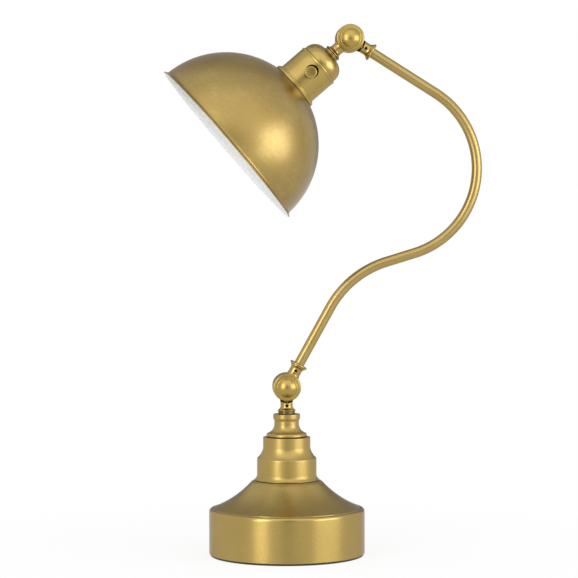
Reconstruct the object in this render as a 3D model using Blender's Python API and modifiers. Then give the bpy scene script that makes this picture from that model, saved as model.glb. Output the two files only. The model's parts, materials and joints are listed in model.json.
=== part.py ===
"""Swing arm desk lamp in satin brass: weighted base, S-curved arm, tilting bell shade.

The arm lies in the XZ plane.  The origin is the centre of the base's underside,
+Z is up, the shade hangs on the -X side and the front of the lamp faces -Y.
Both friction knuckles turn about lines parallel to Y.
"""
import math

import bpy
from mathutils import Matrix, Vector

# ---------------------------------------------------------------- clearances
GAP = 0.0003                      # between pieces that touch on the real lamp
WIRE_CLEARANCE = 0.0003
CUT_PAST = 0.001                  # how far a cutter runs past what it cuts
QUARTER_RISE = 1 - math.sqrt(0.5)  # rise of a quarter circle, as a share of its radius

# ---------------------------------------------------------------------- base
PAD_INSET = 0.0012
PAD_THICKNESS = 0.0016
BASE_RADIUS = 0.0764
BASE_WALL = 0.0012
DRUM_HEIGHT = 0.0427              # straight side of the base, from the table
RIM_RADIUS = 0.0034               # rounding over the drum's upper edge
CONE_FOOT_INSET = 0.0040          # from the drum's side to the cone's foot
RIM_STEP = 0.0002                 # from the rim's top up to the cone's foot
CONE_RISE = 0.0259
CONE_HOLLOW = 0.0026              # how deep the cone's flank bows inwards
CONE_BROW_WIDTH = 0.0026          # sloping edge between the flank and the flat top
CONE_BROW_RISE = 0.0014
COLUMN_MARGIN = 0.0009            # flat that shows around the column's foot

WEIGHT_THICKNESS = 0.0180
WEIGHT_RECESS_RADIUS = 0.0160
WEIGHT_RECESS_DEPTH = 0.0125
WEIGHT_SLOT_WIDTH = 0.0090
WEIGHT_SLOT_DEPTH = 0.0120

# -------------------------------------------------------------------- column
COLUMN_WALL = 0.0012
COLUMN_FOOT_RADIUS = 0.0313
COLUMN_LOWER_RADIUS = 0.0292
COLUMN_UPPER_RADIUS = 0.0232
COLUMN_EDGE = 0.0006              # chamfer of the top edge
COLUMN_FLARE_HOLLOW = 0.0010      # how deep the flare between the tiers bows inwards
COLUMN_FOOT_HEIGHT = 0.0056
COLUMN_FOOT_HOLLOW = 0.0006
COLUMN_FOOT_EDGE = 0.0008         # upright edge that stands on the base
COLUMN_LOWER_HEIGHT = 0.0157
COLUMN_FLARE_HEIGHT = 0.0100
COLUMN_UPPER_HEIGHT = 0.0108

# -------------------------------------------------------------------- collar
COLLAR_FOOT_RADIUS = 0.0198
COLLAR_FOOT_HEIGHT = 0.0034
COLLAR_WAIST_RADIUS = 0.0121
COLLAR_WAIST_HEIGHT = 0.0132      # of the waist above the collar's foot
COLLAR_RING_RADIUS = 0.0132
COLLAR_RING_HEIGHT = 0.0045
COLLAR_HEIGHT = 0.0222
COLLAR_EDGE = 0.0011              # rounding of the foot; the other edges take half
COLLAR_RING_HOLLOW = 0.0004
COLLAR_WAIST_HOLLOW = 0.0020

# ------------------------------------------------------------------ hardware
ROD_RADIUS = 0.0048               # hollow lamp nipple, 1/8 IPS
ROD_BORE = 0.0029
ROD_CLEARANCE = 0.0003
ROD_FOOT_HEIGHT = 0.0082
NUT_FLATS = 0.0145
NUT_THICKNESS = 0.0036
WASHER_RADIUS = 0.0110
WASHER_THICKNESS = 0.0012
LOCKNUT_RADIUS = 0.0083
LOCKNUT_THICKNESS = 0.0019
GLAND_HEIGHT = 0.0098
GLAND_FLANGE_RADIUS = 0.0056
GLAND_BODY_RADIUS = 0.0042
GLAND_FLANGE_THICKNESS = 0.0016
GLAND_DEPTH = 0.0050
WIRE_RADIUS = 0.0023
LEAD_BEND_EXTRA = 0.0012          # the lead bends upwards this far past the rod's foot

# ------------------------------------------------------------------ knuckles
KNUCKLE_RADIUS = 0.0136
KNUCKLE_DEPTH = 0.0110            # of one half, along the hinge axis
KNUCKLE_EDGE = 0.0012             # rounding of the half's outer edge
KNUCKLE_WALL = 0.0024
KNUCKLE_END_WALL = 0.0030
HUB_RADIUS = 0.0046
SADDLE_GAP = 0.0020               # between a neck and the other half's rim
NECK_WALL = 0.0015                # around the arm tube
NECK_FLANGE_LEDGE = 0.0024
NECK_FLANGE_THICKNESS = 0.0016
NECK_FLARE_LENGTH = 0.0045
NECK_FLARE_HOLLOW = 0.0007
NECK_EDGE = 0.0005
BEAD_EXTRA = 0.0008               # how much thicker the arm ferrules' flanges are
TUBE_SEAT_CLEARANCE = 0.0003
SEAT_FLOOR = 0.0011               # left between a tube's seat and the saddle
BASE_NECK_REACH = 0.0105          # of each neck past the knuckle's rim
LOWER_FERRULE_REACH = 0.0120
UPPER_FERRULE_REACH = 0.0125
HEAD_NECK_REACH = 0.0088
CAP_INSET = 0.0012
CAP_FLANGE_THICKNESS = 0.0027
CAP_LEDGE = 0.0026                # flat ring around the cap's dome
CAP_DOME_HEIGHT = 0.0048
CAP_DOME_BULGE = 0.0022
CAP_EDGE = 0.0005
CAP_WALL = 0.0014
BOLT_RADIUS = 0.0020
BOLT_HEAD_RADIUS = 0.0042
BOLT_HEAD_THICKNESS = 0.0026
BOLT_EDGE = 0.0008
BOLT_TAIL = 0.0006                # thread that shows past the nut
PIVOT_NUT_FLATS = 0.0070
PIVOT_NUT_THICKNESS = 0.0026
SPRING_WASHER_THICKNESS = 0.0008
FRICTION_WASHER_THICKNESS = 0.0008
SET_SCREW_RADIUS = 0.0014
SET_SCREW_REACH = 0.0047          # past the knuckle's rim, along the neck
SET_SCREW_RECESS = 0.0004

# ----------------------------------------------------------------------- arm
TUBE_RADIUS = 0.0050
TUBE_WALL = 0.0010
ARM_LEAN = math.radians(29.1)     # lower straight, from the vertical
LOWER_STRAIGHT = 0.0887
LOWER_BEND_RADIUS = 0.0945
LOWER_BEND = math.radians(44.0)
MIDDLE_STRAIGHT = 0.0293
UPPER_BEND_RADIUS = 0.0867
UPPER_BEND = math.radians(130.9)
UPPER_STRAIGHT = 0.1001

# ---------------------------------------------------------------------- head
HEAD_LEAN = math.radians(49.4)    # the head's axis, from the vertical
SHADE_RADIUS = 0.0900
SHADE_WALL = 0.0011
LIP_WIDTH = 0.0031                # how far the rim's lip flares past the dome
LIP_HEIGHT = 0.0040
LIP_EDGE_HEIGHT = 0.0003
LIP_HOLLOW = 0.0006
CROWN_CLEARANCE = 0.0005          # around the lampholder in the shade's crown
HOUSING_WALL = 0.0010
HOUSING_MARGIN = 0.0039           # from the lampholder's side to the housing's outside
HOUSING_HEIGHT = 0.0250
PLATE_LEDGE = 0.0028              # the shade collar's plate, past the housing
PLATE_THICKNESS = 0.0025
STEP_LEDGE = 0.0014               # the shade collar's upper step, past the housing
STEP_HEIGHT = 0.0015
PLATE_EDGE = 0.0005
PLATE_RELIEF = 0.0001             # lets the plate's flat underside clear the dome's bulge
SOCKET_CAP_BEAD_LEDGE = 0.0005
SOCKET_CAP_BEAD_HEIGHT = 0.0034
SOCKET_CAP_SHOULDER_INSET = 0.0012
SOCKET_CAP_FLAT_RADIUS = 0.0095
SOCKET_CAP_DOME_HEIGHT = 0.0144
SOCKET_CAP_BULGE = 0.0040
SOCKET_CAP_BEAD_EDGE = 0.0009
SOCKET_CAP_WALL = 0.0012
LAMPHOLDER_BORE = 0.0142
LAMPHOLDER_WALL = 0.0043
LAMPHOLDER_LENGTH = 0.0378
LAMPHOLDER_END_WALL = 0.0060
LAMPHOLDER_RISE = 0.0088          # how far it stands up inside the housing
SCREW_SHELL_WALL = 0.0006
SCREW_SHELL_LENGTH = 0.0240
CONTACT_RADIUS = 0.0045
CONTACT_THICKNESS = 0.0012
RETAINING_RING_WIDTH = 0.0072
RETAINING_RING_HEIGHT = 0.0042
SWITCH_WIDTH = 0.0220
SWITCH_DEPTH = 0.0260
SWITCH_HEIGHT = 0.0126
KNOB_RADIUS = 0.00585
KNOB_THICKNESS = 0.0042
KNOB_FACE_WALL = 0.0012
KNOB_EDGE = 0.0005
KNOB_STANDOFF = 0.0010            # from the housing to the knob's back
KNOB_HOLE_CLEARANCE = 0.00065     # around the knob, in the housing
KNOB_HOLE_OFFSET = 0.0018         # the hole sits this much nearer the cap
KNOB_SHAFT_RADIUS = 0.0021
TERMINAL_RADIUS = 0.0022
TERMINAL_LENGTH = 0.0024

# --------------------------------------------- sizes that follow from those above
rod_hole = ROD_RADIUS + ROD_CLEARANCE
shell_top = DRUM_HEIGHT + RIM_RADIUS + RIM_STEP + CONE_RISE + CONE_BROW_RISE
shell_top_radius = COLUMN_FOOT_RADIUS + COLUMN_MARGIN
column_foot = shell_top + GAP
column_lower_foot = column_foot + COLUMN_FOOT_HEIGHT
column_lower_top = column_lower_foot + COLUMN_LOWER_HEIGHT
column_upper_foot = column_lower_top + COLUMN_FLARE_HEIGHT
column_top = column_upper_foot + COLUMN_UPPER_HEIGHT
collar_foot = column_top + GAP
collar_top = collar_foot + COLLAR_HEIGHT
locknut_foot = collar_top + GAP
neck_radius = TUBE_RADIUS + NECK_WALL
neck_flange_radius = neck_radius + NECK_FLANGE_LEDGE
base_neck_length = KNUCKLE_RADIUS + BASE_NECK_REACH
head_neck_length = KNUCKLE_RADIUS + HEAD_NECK_REACH
set_screw_distance = KNUCKLE_RADIUS + SET_SCREW_REACH
seat_floor_distance = KNUCKLE_RADIUS + SADDLE_GAP + SEAT_FLOOR
lower_knuckle_height = locknut_foot + LOCKNUT_THICKNESS + GAP + base_neck_length
cap_radius = KNUCKLE_RADIUS - CAP_INSET
cap_dome_radius = cap_radius - CAP_LEDGE


def dome_height(radius, dome_radius=SHADE_RADIUS):
    """Height of the shade's dome above its rim at this distance from the axis."""
    return math.sqrt(dome_radius * dome_radius - radius * radius)


# Heights in the head run along its axis, from the plane of the shade's rim.
lampholder_radius = LAMPHOLDER_BORE + LAMPHOLDER_WALL
housing_radius = lampholder_radius + HOUSING_MARGIN
plate_radius = housing_radius + PLATE_LEDGE
plate_foot = dome_height(plate_radius) + GAP
plate_top = plate_foot + PLATE_THICKNESS
step_top = plate_top + STEP_HEIGHT
housing_foot = step_top + GAP
housing_top = housing_foot + HOUSING_HEIGHT
lampholder_top = housing_foot + LAMPHOLDER_RISE
lampholder_floor = lampholder_top - LAMPHOLDER_END_WALL
lampholder_mouth = lampholder_top - LAMPHOLDER_LENGTH
switch_foot = lampholder_top + GAP
knob_height = switch_foot + SWITCH_HEIGHT / 2
bead_foot = housing_top + GAP
bead_top = bead_foot + SOCKET_CAP_BEAD_HEIGHT
socket_cap_top = bead_top + SOCKET_CAP_DOME_HEIGHT
rim_to_pivot = socket_cap_top + GAP + LOCKNUT_THICKNESS + GAP + head_neck_length

# ----------------------------------------------------------------- fineness
STEPS_LARGE = 36
STEPS_MEDIUM = 24
STEPS_SMALL = 16
STEPS_TINY = 10

FRONT = math.radians(90)          # turns a part's +Z to face -Y
REAR = math.radians(-90)          # turns a part's +Z to face +Y

for old in list(bpy.data.objects):
    bpy.data.objects.remove(old, do_unlink=True)

lamp = bpy.data.collections.new("swing_arm_desk_lamp")
cutters = bpy.data.collections.new("cutters")
bpy.context.scene.collection.children.link(lamp)
bpy.context.scene.collection.children.link(cutters)


# ------------------------------------------------------------------ materials
def make_material(name, colour, roughness, metallic):
    material = bpy.data.materials.new(name)
    material.use_nodes = True
    shader = material.node_tree.nodes["Principled BSDF"]
    shader.inputs["Base Color"].default_value = (*colour, 1.0)
    shader.inputs["Roughness"].default_value = roughness
    shader.inputs["Metallic"].default_value = metallic
    return material


BRASS = make_material("satin_brass", (0.40, 0.27, 0.085), 0.34, 1.0)
BRASS_DARK = make_material("shadowed_brass", (0.16, 0.10, 0.03), 0.45, 1.0)
STEEL = make_material("zinc_steel", (0.55, 0.55, 0.56), 0.35, 1.0)
IRON = make_material("cast_iron", (0.05, 0.05, 0.055), 0.75, 0.6)
FELT = make_material("black_felt", (0.012, 0.012, 0.012), 0.95, 0.0)
RUBBER = make_material("black_rubber", (0.015, 0.015, 0.015), 0.7, 0.0)
PHENOLIC = make_material("black_phenolic", (0.02, 0.018, 0.016), 0.4, 0.0)
FIBRE = make_material("red_fibre", (0.25, 0.05, 0.03), 0.8, 0.0)
WIRE = make_material("wire_jacket", (0.6, 0.58, 0.5), 0.5, 0.0)


# -------------------------------------------------------------------- helpers
def add_object(name, data, material, parent=None, location=(0, 0, 0), rotation=(0, 0, 0)):
    """Put mesh or curve data in the lamp, or among the cutters if it has no material."""
    thing = bpy.data.objects.new(name, data)
    thing.parent = parent
    thing.location = location
    thing.rotation_euler = rotation
    if material is None:
        cutters.objects.link(thing)
        thing.hide_render = True
        thing.display_type = "WIRE"
    else:
        lamp.objects.link(thing)
        data.materials.append(material)
    return thing


def add_empty(name, parent=None, location=(0, 0, 0), rotation=(0, 0, 0)):
    empty = bpy.data.objects.new(name, None)
    empty.parent = parent
    empty.location = location
    empty.rotation_euler = rotation
    lamp.objects.link(empty)
    return empty


def bow(start, end, rise, pieces):
    """Points of an arc after start, up to end; rise lifts its middle off the chord."""
    start = Vector(start)
    end = Vector(end)
    chord = end - start
    side = Vector((chord.y, -chord.x)).normalized()
    radius = (chord.length_squared / 4 + rise * rise) / (2 * abs(rise))
    half_angle = math.asin(min(1.0, chord.length / (2 * radius)))
    sign = math.copysign(1.0, rise)
    centre = (start + end) / 2 + side * (rise - sign * radius)
    points = []
    for i in range(1, pieces + 1):
        turn = half_angle * (2 * i / pieces - 1)
        forward = chord.normalized() * math.sin(turn) * radius
        outward = side * sign * math.cos(turn) * radius
        point = centre + forward + outward
        points.append((point.x, point.y))
    points[-1] = (end.x, end.y)
    return points


def turned(name, profile, steps, material, parent=None, location=(0, 0, 0),
           rotation=(0, 0, 0), closed=True):
    """A turned piece; the profile of (radius, height) runs down its outer side."""
    mesh = bpy.data.meshes.new(name)
    vertices = [(radius, 0.0, height) for radius, height in profile]
    edges = [(i, i + 1) for i in range(len(vertices) - 1)]
    if closed:
        edges.append((len(vertices) - 1, 0))
    mesh.from_pydata(vertices, edges, [])
    piece = add_object(name, mesh, material, parent, location, rotation)
    screw = piece.modifiers.new("turn", "SCREW")
    screw.axis = "Z"
    screw.steps = steps
    screw.render_steps = steps
    screw.use_merge_vertices = True
    screw.merge_threshold = 0.00001
    screw.use_smooth_shade = True
    return piece


def thicken(piece, thickness):
    """Give a turned open surface its wall, inwards from the outline."""
    wall = piece.modifiers.new("wall", "SOLIDIFY")
    wall.thickness = thickness
    wall.offset = -1.0
    wall.use_even_offset = True
    return piece


def washer_profile(inner, outer, bottom, top):
    return [(inner, top), (outer, top), (outer, bottom), (inner, bottom)]


def rod_profile(radius, bottom, top):
    return [(0.0, top), (radius, top), (radius, bottom), (0.0, bottom)]


def boolean(piece, other, operation="DIFFERENCE"):
    step = piece.modifiers.new(operation.lower(), "BOOLEAN")
    step.operation = operation
    step.solver = "EXACT"
    step.object = other
    return step


def box(name, size, material, parent=None, location=(0, 0, 0), rotation=(0, 0, 0)):
    bpy.ops.mesh.primitive_cube_add(size=1.0)
    primitive = bpy.context.object
    mesh = primitive.data
    mesh.transform(Matrix.Diagonal((*size, 1.0)))
    bpy.data.objects.remove(primitive)
    return add_object(name, mesh, material, parent, location, rotation)


def hex_prism(name, flats, height, material, parent=None, location=(0, 0, 0),
              rotation=(0, 0, 0)):
    """A six-sided block that stands on its origin."""
    corner_radius = flats / 2 / math.cos(math.radians(30))
    bpy.ops.mesh.primitive_cylinder_add(vertices=6, radius=corner_radius, depth=height)
    primitive = bpy.context.object
    mesh = primitive.data
    mesh.transform(Matrix.Translation((0, 0, height / 2)))
    bpy.data.objects.remove(primitive)
    return add_object(name, mesh, material, parent, location, rotation)


def hex_nut(name, flats, height, bore, parent, location, rotation=(0, 0, 0)):
    nut = hex_prism(name, flats, height, STEEL, parent, location, rotation)
    thread = turned(name + "_bore", rod_profile(bore, -CUT_PAST, height + CUT_PAST),
                    STEPS_SMALL, None, parent, location, rotation)
    boolean(nut, thread)
    return nut


def wire(name, points, radius, material, parent=None, caps=True, resolution=2):
    """A tube along a list of points, which stay exactly on its centreline."""
    curve = bpy.data.curves.new(name, "CURVE")
    curve.dimensions = "3D"
    curve.bevel_depth = radius
    curve.bevel_resolution = resolution
    curve.use_fill_caps = caps
    spline = curve.splines.new("POLY")
    spline.points.add(len(points) - 1)
    for slot, point in zip(spline.points, points):
        slot.co = (*point, 1.0)
    return add_object(name, curve, material, parent)


# ---------------------------------------------------------------- arm's path
def arm_path(start_at, stop_short):
    """Points (x, z) and headings of the arm's centreline, from the lower hinge axis.

    start_at is where the list begins, measured along the path from the lower axis,
    and stop_short is how far before the upper axis it ends.
    """
    heading = math.pi / 2 - ARM_LEAN
    here = Vector((0.0, lower_knuckle_height))
    legs = [
        (LOWER_STRAIGHT, 0.0),
        (LOWER_BEND_RADIUS * LOWER_BEND, -1 / LOWER_BEND_RADIUS),
        (MIDDLE_STRAIGHT, 0.0),
        (UPPER_BEND_RADIUS * UPPER_BEND, 1 / UPPER_BEND_RADIUS),
        (UPPER_STRAIGHT, 0.0),
    ]
    total = sum(length for length, curvature in legs)
    bend_step = 0.0135
    stations = []
    travelled = 0.0
    for length, curvature in legs:
        pieces = max(1, round(length / bend_step)) if curvature else 1
        for i in range(pieces):
            stations.append((travelled, here.copy(), heading))
            stride = length / pieces
            turn = curvature * stride
            chord = stride if turn == 0 else 2 / abs(curvature) * math.sin(abs(turn) / 2)
            direction = heading + turn / 2
            here += Vector((math.cos(direction), math.sin(direction))) * chord
            heading += turn
            travelled += stride
    stations.append((travelled, here.copy(), heading))
    first, last = stations[0], stations[-1]
    begin = first[1] + Vector((math.cos(first[2]), math.sin(first[2]))) * start_at
    finish = last[1] - Vector((math.cos(last[2]), math.sin(last[2]))) * stop_short
    kept = [point for along, point, _ in stations if start_at < along < total - stop_short]
    return [begin, *kept, finish], last[1], last[2]


path, upper_pivot, upper_heading = arm_path(0.0, 0.0)

# ------------------------------------------------------- frames that turn
arm_pivot = add_empty("arm_pivot", location=(0, 0, lower_knuckle_height))
head_pivot = add_empty(
    "head_pivot", arm_pivot,
    location=(upper_pivot.x, 0, upper_pivot.y - lower_knuckle_height),
    rotation=(0, HEAD_LEAN, 0),
)
base_seat = add_empty("base_seat", location=(0, 0, lower_knuckle_height))
lower_seat = add_empty("lower_seat", arm_pivot, rotation=(0, math.pi + ARM_LEAN, 0))
upper_seat = add_empty(
    "upper_seat", arm_pivot,
    location=(upper_pivot.x, 0, upper_pivot.y - lower_knuckle_height),
    rotation=(0, math.pi / 2 - upper_heading, 0),
)


def along_head(distance):
    """Height in the head's frame of a point this far from the shade's rim."""
    return distance - rim_to_pivot


# ----------------------------------------------------------------------- base
shell_foot = PAD_THICKNESS + GAP
weight_radius = BASE_RADIUS - BASE_WALL - GAP

turned("felt_pad", rod_profile(BASE_RADIUS - PAD_INSET, 0.0, PAD_THICKNESS), STEPS_LARGE, FELT)

cone_top = (shell_top_radius + CONE_BROW_WIDTH, shell_top - CONE_BROW_RISE)
cone_foot = (BASE_RADIUS - CONE_FOOT_INSET, DRUM_HEIGHT + RIM_RADIUS + RIM_STEP)
rim_top = (BASE_RADIUS - RIM_RADIUS, DRUM_HEIGHT + RIM_RADIUS)
shell_outline = [(rod_hole, shell_top), (shell_top_radius, shell_top), cone_top]
shell_outline += bow(cone_top, cone_foot, CONE_HOLLOW, 5)
shell_outline += [rim_top]
shell_outline += bow(rim_top, (BASE_RADIUS, DRUM_HEIGHT), -QUARTER_RISE * RIM_RADIUS, 3)
shell_outline += [(BASE_RADIUS, shell_foot)]
base_shell = thicken(
    turned("base_shell", shell_outline, STEPS_LARGE, BRASS, closed=False), BASE_WALL)
gland_bore = turned("gland_hole", rod_profile(GLAND_BODY_RADIUS + GAP, -0.006, 0.006),
                    STEPS_SMALL, None, location=(0, BASE_RADIUS, GLAND_HEIGHT), rotation=(REAR, 0, 0))
boolean(base_shell, gland_bore)

weight_top = shell_foot + WEIGHT_THICKNESS
recess_top = shell_foot + WEIGHT_RECESS_DEPTH
base_weight = turned("base_weight", [
    (rod_hole, weight_top),
    (weight_radius, weight_top),
    (weight_radius, shell_foot),
    (WEIGHT_RECESS_RADIUS, shell_foot),
    (WEIGHT_RECESS_RADIUS, recess_top),
    (rod_hole, recess_top),
], STEPS_LARGE, IRON)
slot_length = weight_radius + CUT_PAST
boolean(base_weight, box(
    "lead_slot", (WEIGHT_SLOT_WIDTH, slot_length, WEIGHT_SLOT_DEPTH + CUT_PAST), None,
    location=(0, slot_length / 2 + WEIGHT_RECESS_RADIUS / 2,
              shell_foot + (WEIGHT_SLOT_DEPTH - CUT_PAST) / 2)))

washer_top = recess_top - GAP
nut_top = washer_top - WASHER_THICKNESS - GAP
turned("weight_washer",
       washer_profile(rod_hole, WASHER_RADIUS, washer_top - WASHER_THICKNESS, washer_top),
       STEPS_MEDIUM, STEEL)
hex_nut("weight_nut", NUT_FLATS, NUT_THICKNESS, rod_hole, None, (0, 0, nut_top - NUT_THICKNESS))

rod_top = lower_knuckle_height - seat_floor_distance - GAP
turned("threaded_rod", washer_profile(ROD_BORE, ROD_RADIUS, ROD_FOOT_HEIGHT, rod_top),
       STEPS_SMALL, STEEL)

# The gland lines the hole in the back of the base; its flanges grip the wall.
gland_outside = BASE_RADIUS + GAP
gland_inside = BASE_RADIUS - BASE_WALL - GAP
turned("cord_gland", [
    (WIRE_RADIUS + WIRE_CLEARANCE, GLAND_FLANGE_THICKNESS),
    (GLAND_FLANGE_RADIUS * 0.8, GLAND_FLANGE_THICKNESS),
    (GLAND_FLANGE_RADIUS, GLAND_FLANGE_THICKNESS / 2),
    (GLAND_FLANGE_RADIUS, 0.0),
    (GLAND_BODY_RADIUS, 0.0),
    (GLAND_BODY_RADIUS, -GLAND_DEPTH),
    (WIRE_RADIUS + WIRE_CLEARANCE, -GLAND_DEPTH),
], STEPS_SMALL, RUBBER, location=(0, gland_outside, GLAND_HEIGHT), rotation=(REAR, 0, 0))
# The weight gives way to the gland's inner end.
boolean(base_weight, turned(
    "gland_relief", rod_profile(GLAND_BODY_RADIUS + 2 * GAP, -GLAND_DEPTH - 2 * GAP, CUT_PAST),
    STEPS_SMALL, None, location=(0, gland_outside, GLAND_HEIGHT), rotation=(REAR, 0, 0)))

# --------------------------------------------------------------------- column
column_outline = [
    (rod_hole, column_top),
    (COLUMN_UPPER_RADIUS - COLUMN_EDGE, column_top),
    (COLUMN_UPPER_RADIUS, column_top - COLUMN_EDGE),
    (COLUMN_UPPER_RADIUS, column_upper_foot),
]
column_outline += bow((COLUMN_UPPER_RADIUS, column_upper_foot),
                      (COLUMN_LOWER_RADIUS, column_lower_top), COLUMN_FLARE_HOLLOW, 3)
column_outline += [(COLUMN_LOWER_RADIUS, column_lower_foot)]
column_outline += bow((COLUMN_LOWER_RADIUS, column_lower_foot),
                      (COLUMN_FOOT_RADIUS, column_foot + COLUMN_FOOT_EDGE), COLUMN_FOOT_HOLLOW, 2)
column_outline += [(COLUMN_FOOT_RADIUS, column_foot)]
thicken(turned("column", column_outline, STEPS_LARGE, BRASS, closed=False), COLUMN_WALL)

# --------------------------------------------------------------------- collar
collar_ring_foot = (COLLAR_RING_RADIUS, collar_top - COLLAR_RING_HEIGHT)
collar_waist = (COLLAR_WAIST_RADIUS, collar_foot + COLLAR_WAIST_HEIGHT)
collar_brow = (COLLAR_FOOT_RADIUS - COLLAR_EDGE, collar_foot + COLLAR_FOOT_HEIGHT)
collar_profile = [
    (rod_hole, collar_top),
    (COLLAR_RING_RADIUS - COLLAR_EDGE / 2, collar_top),
    (COLLAR_RING_RADIUS, collar_top - COLLAR_EDGE / 2),
    collar_ring_foot,
]
collar_profile += bow(collar_ring_foot, collar_waist, COLLAR_RING_HOLLOW, 2)
collar_profile += bow(collar_waist, collar_brow, COLLAR_WAIST_HOLLOW, 5)
collar_profile += [
    (COLLAR_FOOT_RADIUS, collar_foot + COLLAR_FOOT_HEIGHT - COLLAR_EDGE),
    (COLLAR_FOOT_RADIUS, collar_foot + COLLAR_EDGE / 2),
    (COLLAR_FOOT_RADIUS - COLLAR_EDGE / 2, collar_foot),
    (rod_hole, collar_foot),
]
turned("collar", collar_profile, STEPS_MEDIUM, BRASS)

turned("stem_locknut",
       washer_profile(rod_hole, LOCKNUT_RADIUS, locknut_foot, locknut_foot + LOCKNUT_THICKNESS),
       STEPS_MEDIUM, BRASS_DARK)


# ------------------------------------------------------------------- knuckles
def neck_profile(length, bead):
    """A solid neck hanging below a knuckle; a bead is a rounder, thicker flange."""
    flange_top = NECK_FLANGE_THICKNESS + (BEAD_EXTRA if bead else 0.0)
    outline = [(0.0, -KNUCKLE_RADIUS / 2), (neck_radius, -KNUCKLE_RADIUS / 2)]
    outline += [(neck_radius, -length + flange_top + NECK_FLARE_LENGTH)]
    outline += bow(outline[-1], (neck_flange_radius - NECK_EDGE, -length + flange_top),
                   NECK_FLARE_HOLLOW, 3)
    outline += [(neck_flange_radius, -length + flange_top - NECK_EDGE)]
    outline += [(neck_flange_radius, -length + NECK_EDGE)]
    outline += [(neck_flange_radius - NECK_EDGE, -length), (0.0, -length)]
    return outline


def knuckle_half(name, seat, facing, length, seat_radius, bead=False, screwed=True):
    """Half of a friction knuckle: a chambered disc with a neck along its -Z.

    facing is FRONT or REAR, the side of the hinge that the disc lies on, and
    seat_radius is the size of the tube or rod that the neck's socket takes.
    """
    washer_half = FRICTION_WASHER_THICKNESS / 2 + GAP
    chamber_floor = KNUCKLE_DEPTH - KNUCKLE_END_WALL
    rim_inner = KNUCKLE_RADIUS - KNUCKLE_WALL
    bolt_hole = BOLT_RADIUS + GAP
    disc = turned(name + "_disc", [
        (bolt_hole, KNUCKLE_DEPTH),
        (KNUCKLE_RADIUS - KNUCKLE_EDGE, KNUCKLE_DEPTH),
        *bow((KNUCKLE_RADIUS - KNUCKLE_EDGE, KNUCKLE_DEPTH),
             (KNUCKLE_RADIUS, KNUCKLE_DEPTH - KNUCKLE_EDGE), -QUARTER_RISE * KNUCKLE_EDGE, 2),
        (KNUCKLE_RADIUS, GAP / 2),
        (rim_inner, GAP / 2),
        (rim_inner, chamber_floor),
        (HUB_RADIUS, chamber_floor),
        (HUB_RADIUS, washer_half),
        (bolt_hole, washer_half),
    ], STEPS_MEDIUM, None, seat, rotation=(facing, 0, 0))

    half = turned(name, neck_profile(length, bead), STEPS_SMALL, BRASS, seat)
    saddle = turned(name + "_saddle",
                    rod_profile(KNUCKLE_RADIUS + SADDLE_GAP, -GAP / 2, 2 * neck_radius),
                    STEPS_MEDIUM, None, seat, rotation=(-facing, 0, 0))
    throat = turned(name + "_throat",
                    rod_profile(KNUCKLE_RADIUS - KNUCKLE_WALL / 2, -2 * neck_radius,
                                2 * neck_radius),
                    STEPS_MEDIUM, None, seat, rotation=(facing, 0, 0))
    boolean(half, saddle)
    boolean(half, throat)
    boolean(half, disc, "UNION")
    bore = turned(name + "_bore",
                  rod_profile(WIRE_RADIUS + WIRE_CLEARANCE, -length, -HUB_RADIUS - GAP),
                  STEPS_TINY, None, seat)
    boolean(half, bore)
    socket = turned(name + "_socket",
                    rod_profile(seat_radius + TUBE_SEAT_CLEARANCE, -length - CUT_PAST,
                                -seat_floor_distance),
                    STEPS_SMALL, None, seat)
    boolean(half, socket)
    if screwed:
        boolean(half, turned(name + "_tapping",
                             rod_profile(SET_SCREW_RADIUS + GAP, 0.0, neck_radius + CUT_PAST),
                             STEPS_TINY, None, seat, location=(0, 0, -set_screw_distance),
                             rotation=(FRONT, 0, 0)))
    return half


def set_screw(name, seat, seat_radius):
    turned(name,
           rod_profile(SET_SCREW_RADIUS, seat_radius + GAP, neck_radius - SET_SCREW_RECESS),
           STEPS_TINY, STEEL, seat, location=(0, 0, -set_screw_distance), rotation=(FRONT, 0, 0))


def knuckle_cap(name, seat, facing):
    """The hollow domed cap over the bolt's head or nut."""
    foot = KNUCKLE_DEPTH + GAP
    brow = foot + CAP_FLANGE_THICKNESS
    dome = bow((0.0, brow + CAP_DOME_HEIGHT), (cap_dome_radius, brow), -CAP_DOME_BULGE, 4)
    hollow_radius = cap_dome_radius - CAP_WALL
    hollow_top = brow + CAP_DOME_HEIGHT - CAP_WALL
    turned(name, [
        (0.0, brow + CAP_DOME_HEIGHT),
        *dome,
        (cap_radius - CAP_EDGE, brow),
        (cap_radius, brow - CAP_EDGE),
        (cap_radius, foot),
        (hollow_radius, foot),
        (hollow_radius, brow),
        (hollow_radius / 2, hollow_top - CAP_WALL / 2),
        (0.0, hollow_top),
    ], STEPS_MEDIUM, BRASS, seat, rotation=(facing, 0, 0))


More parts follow.
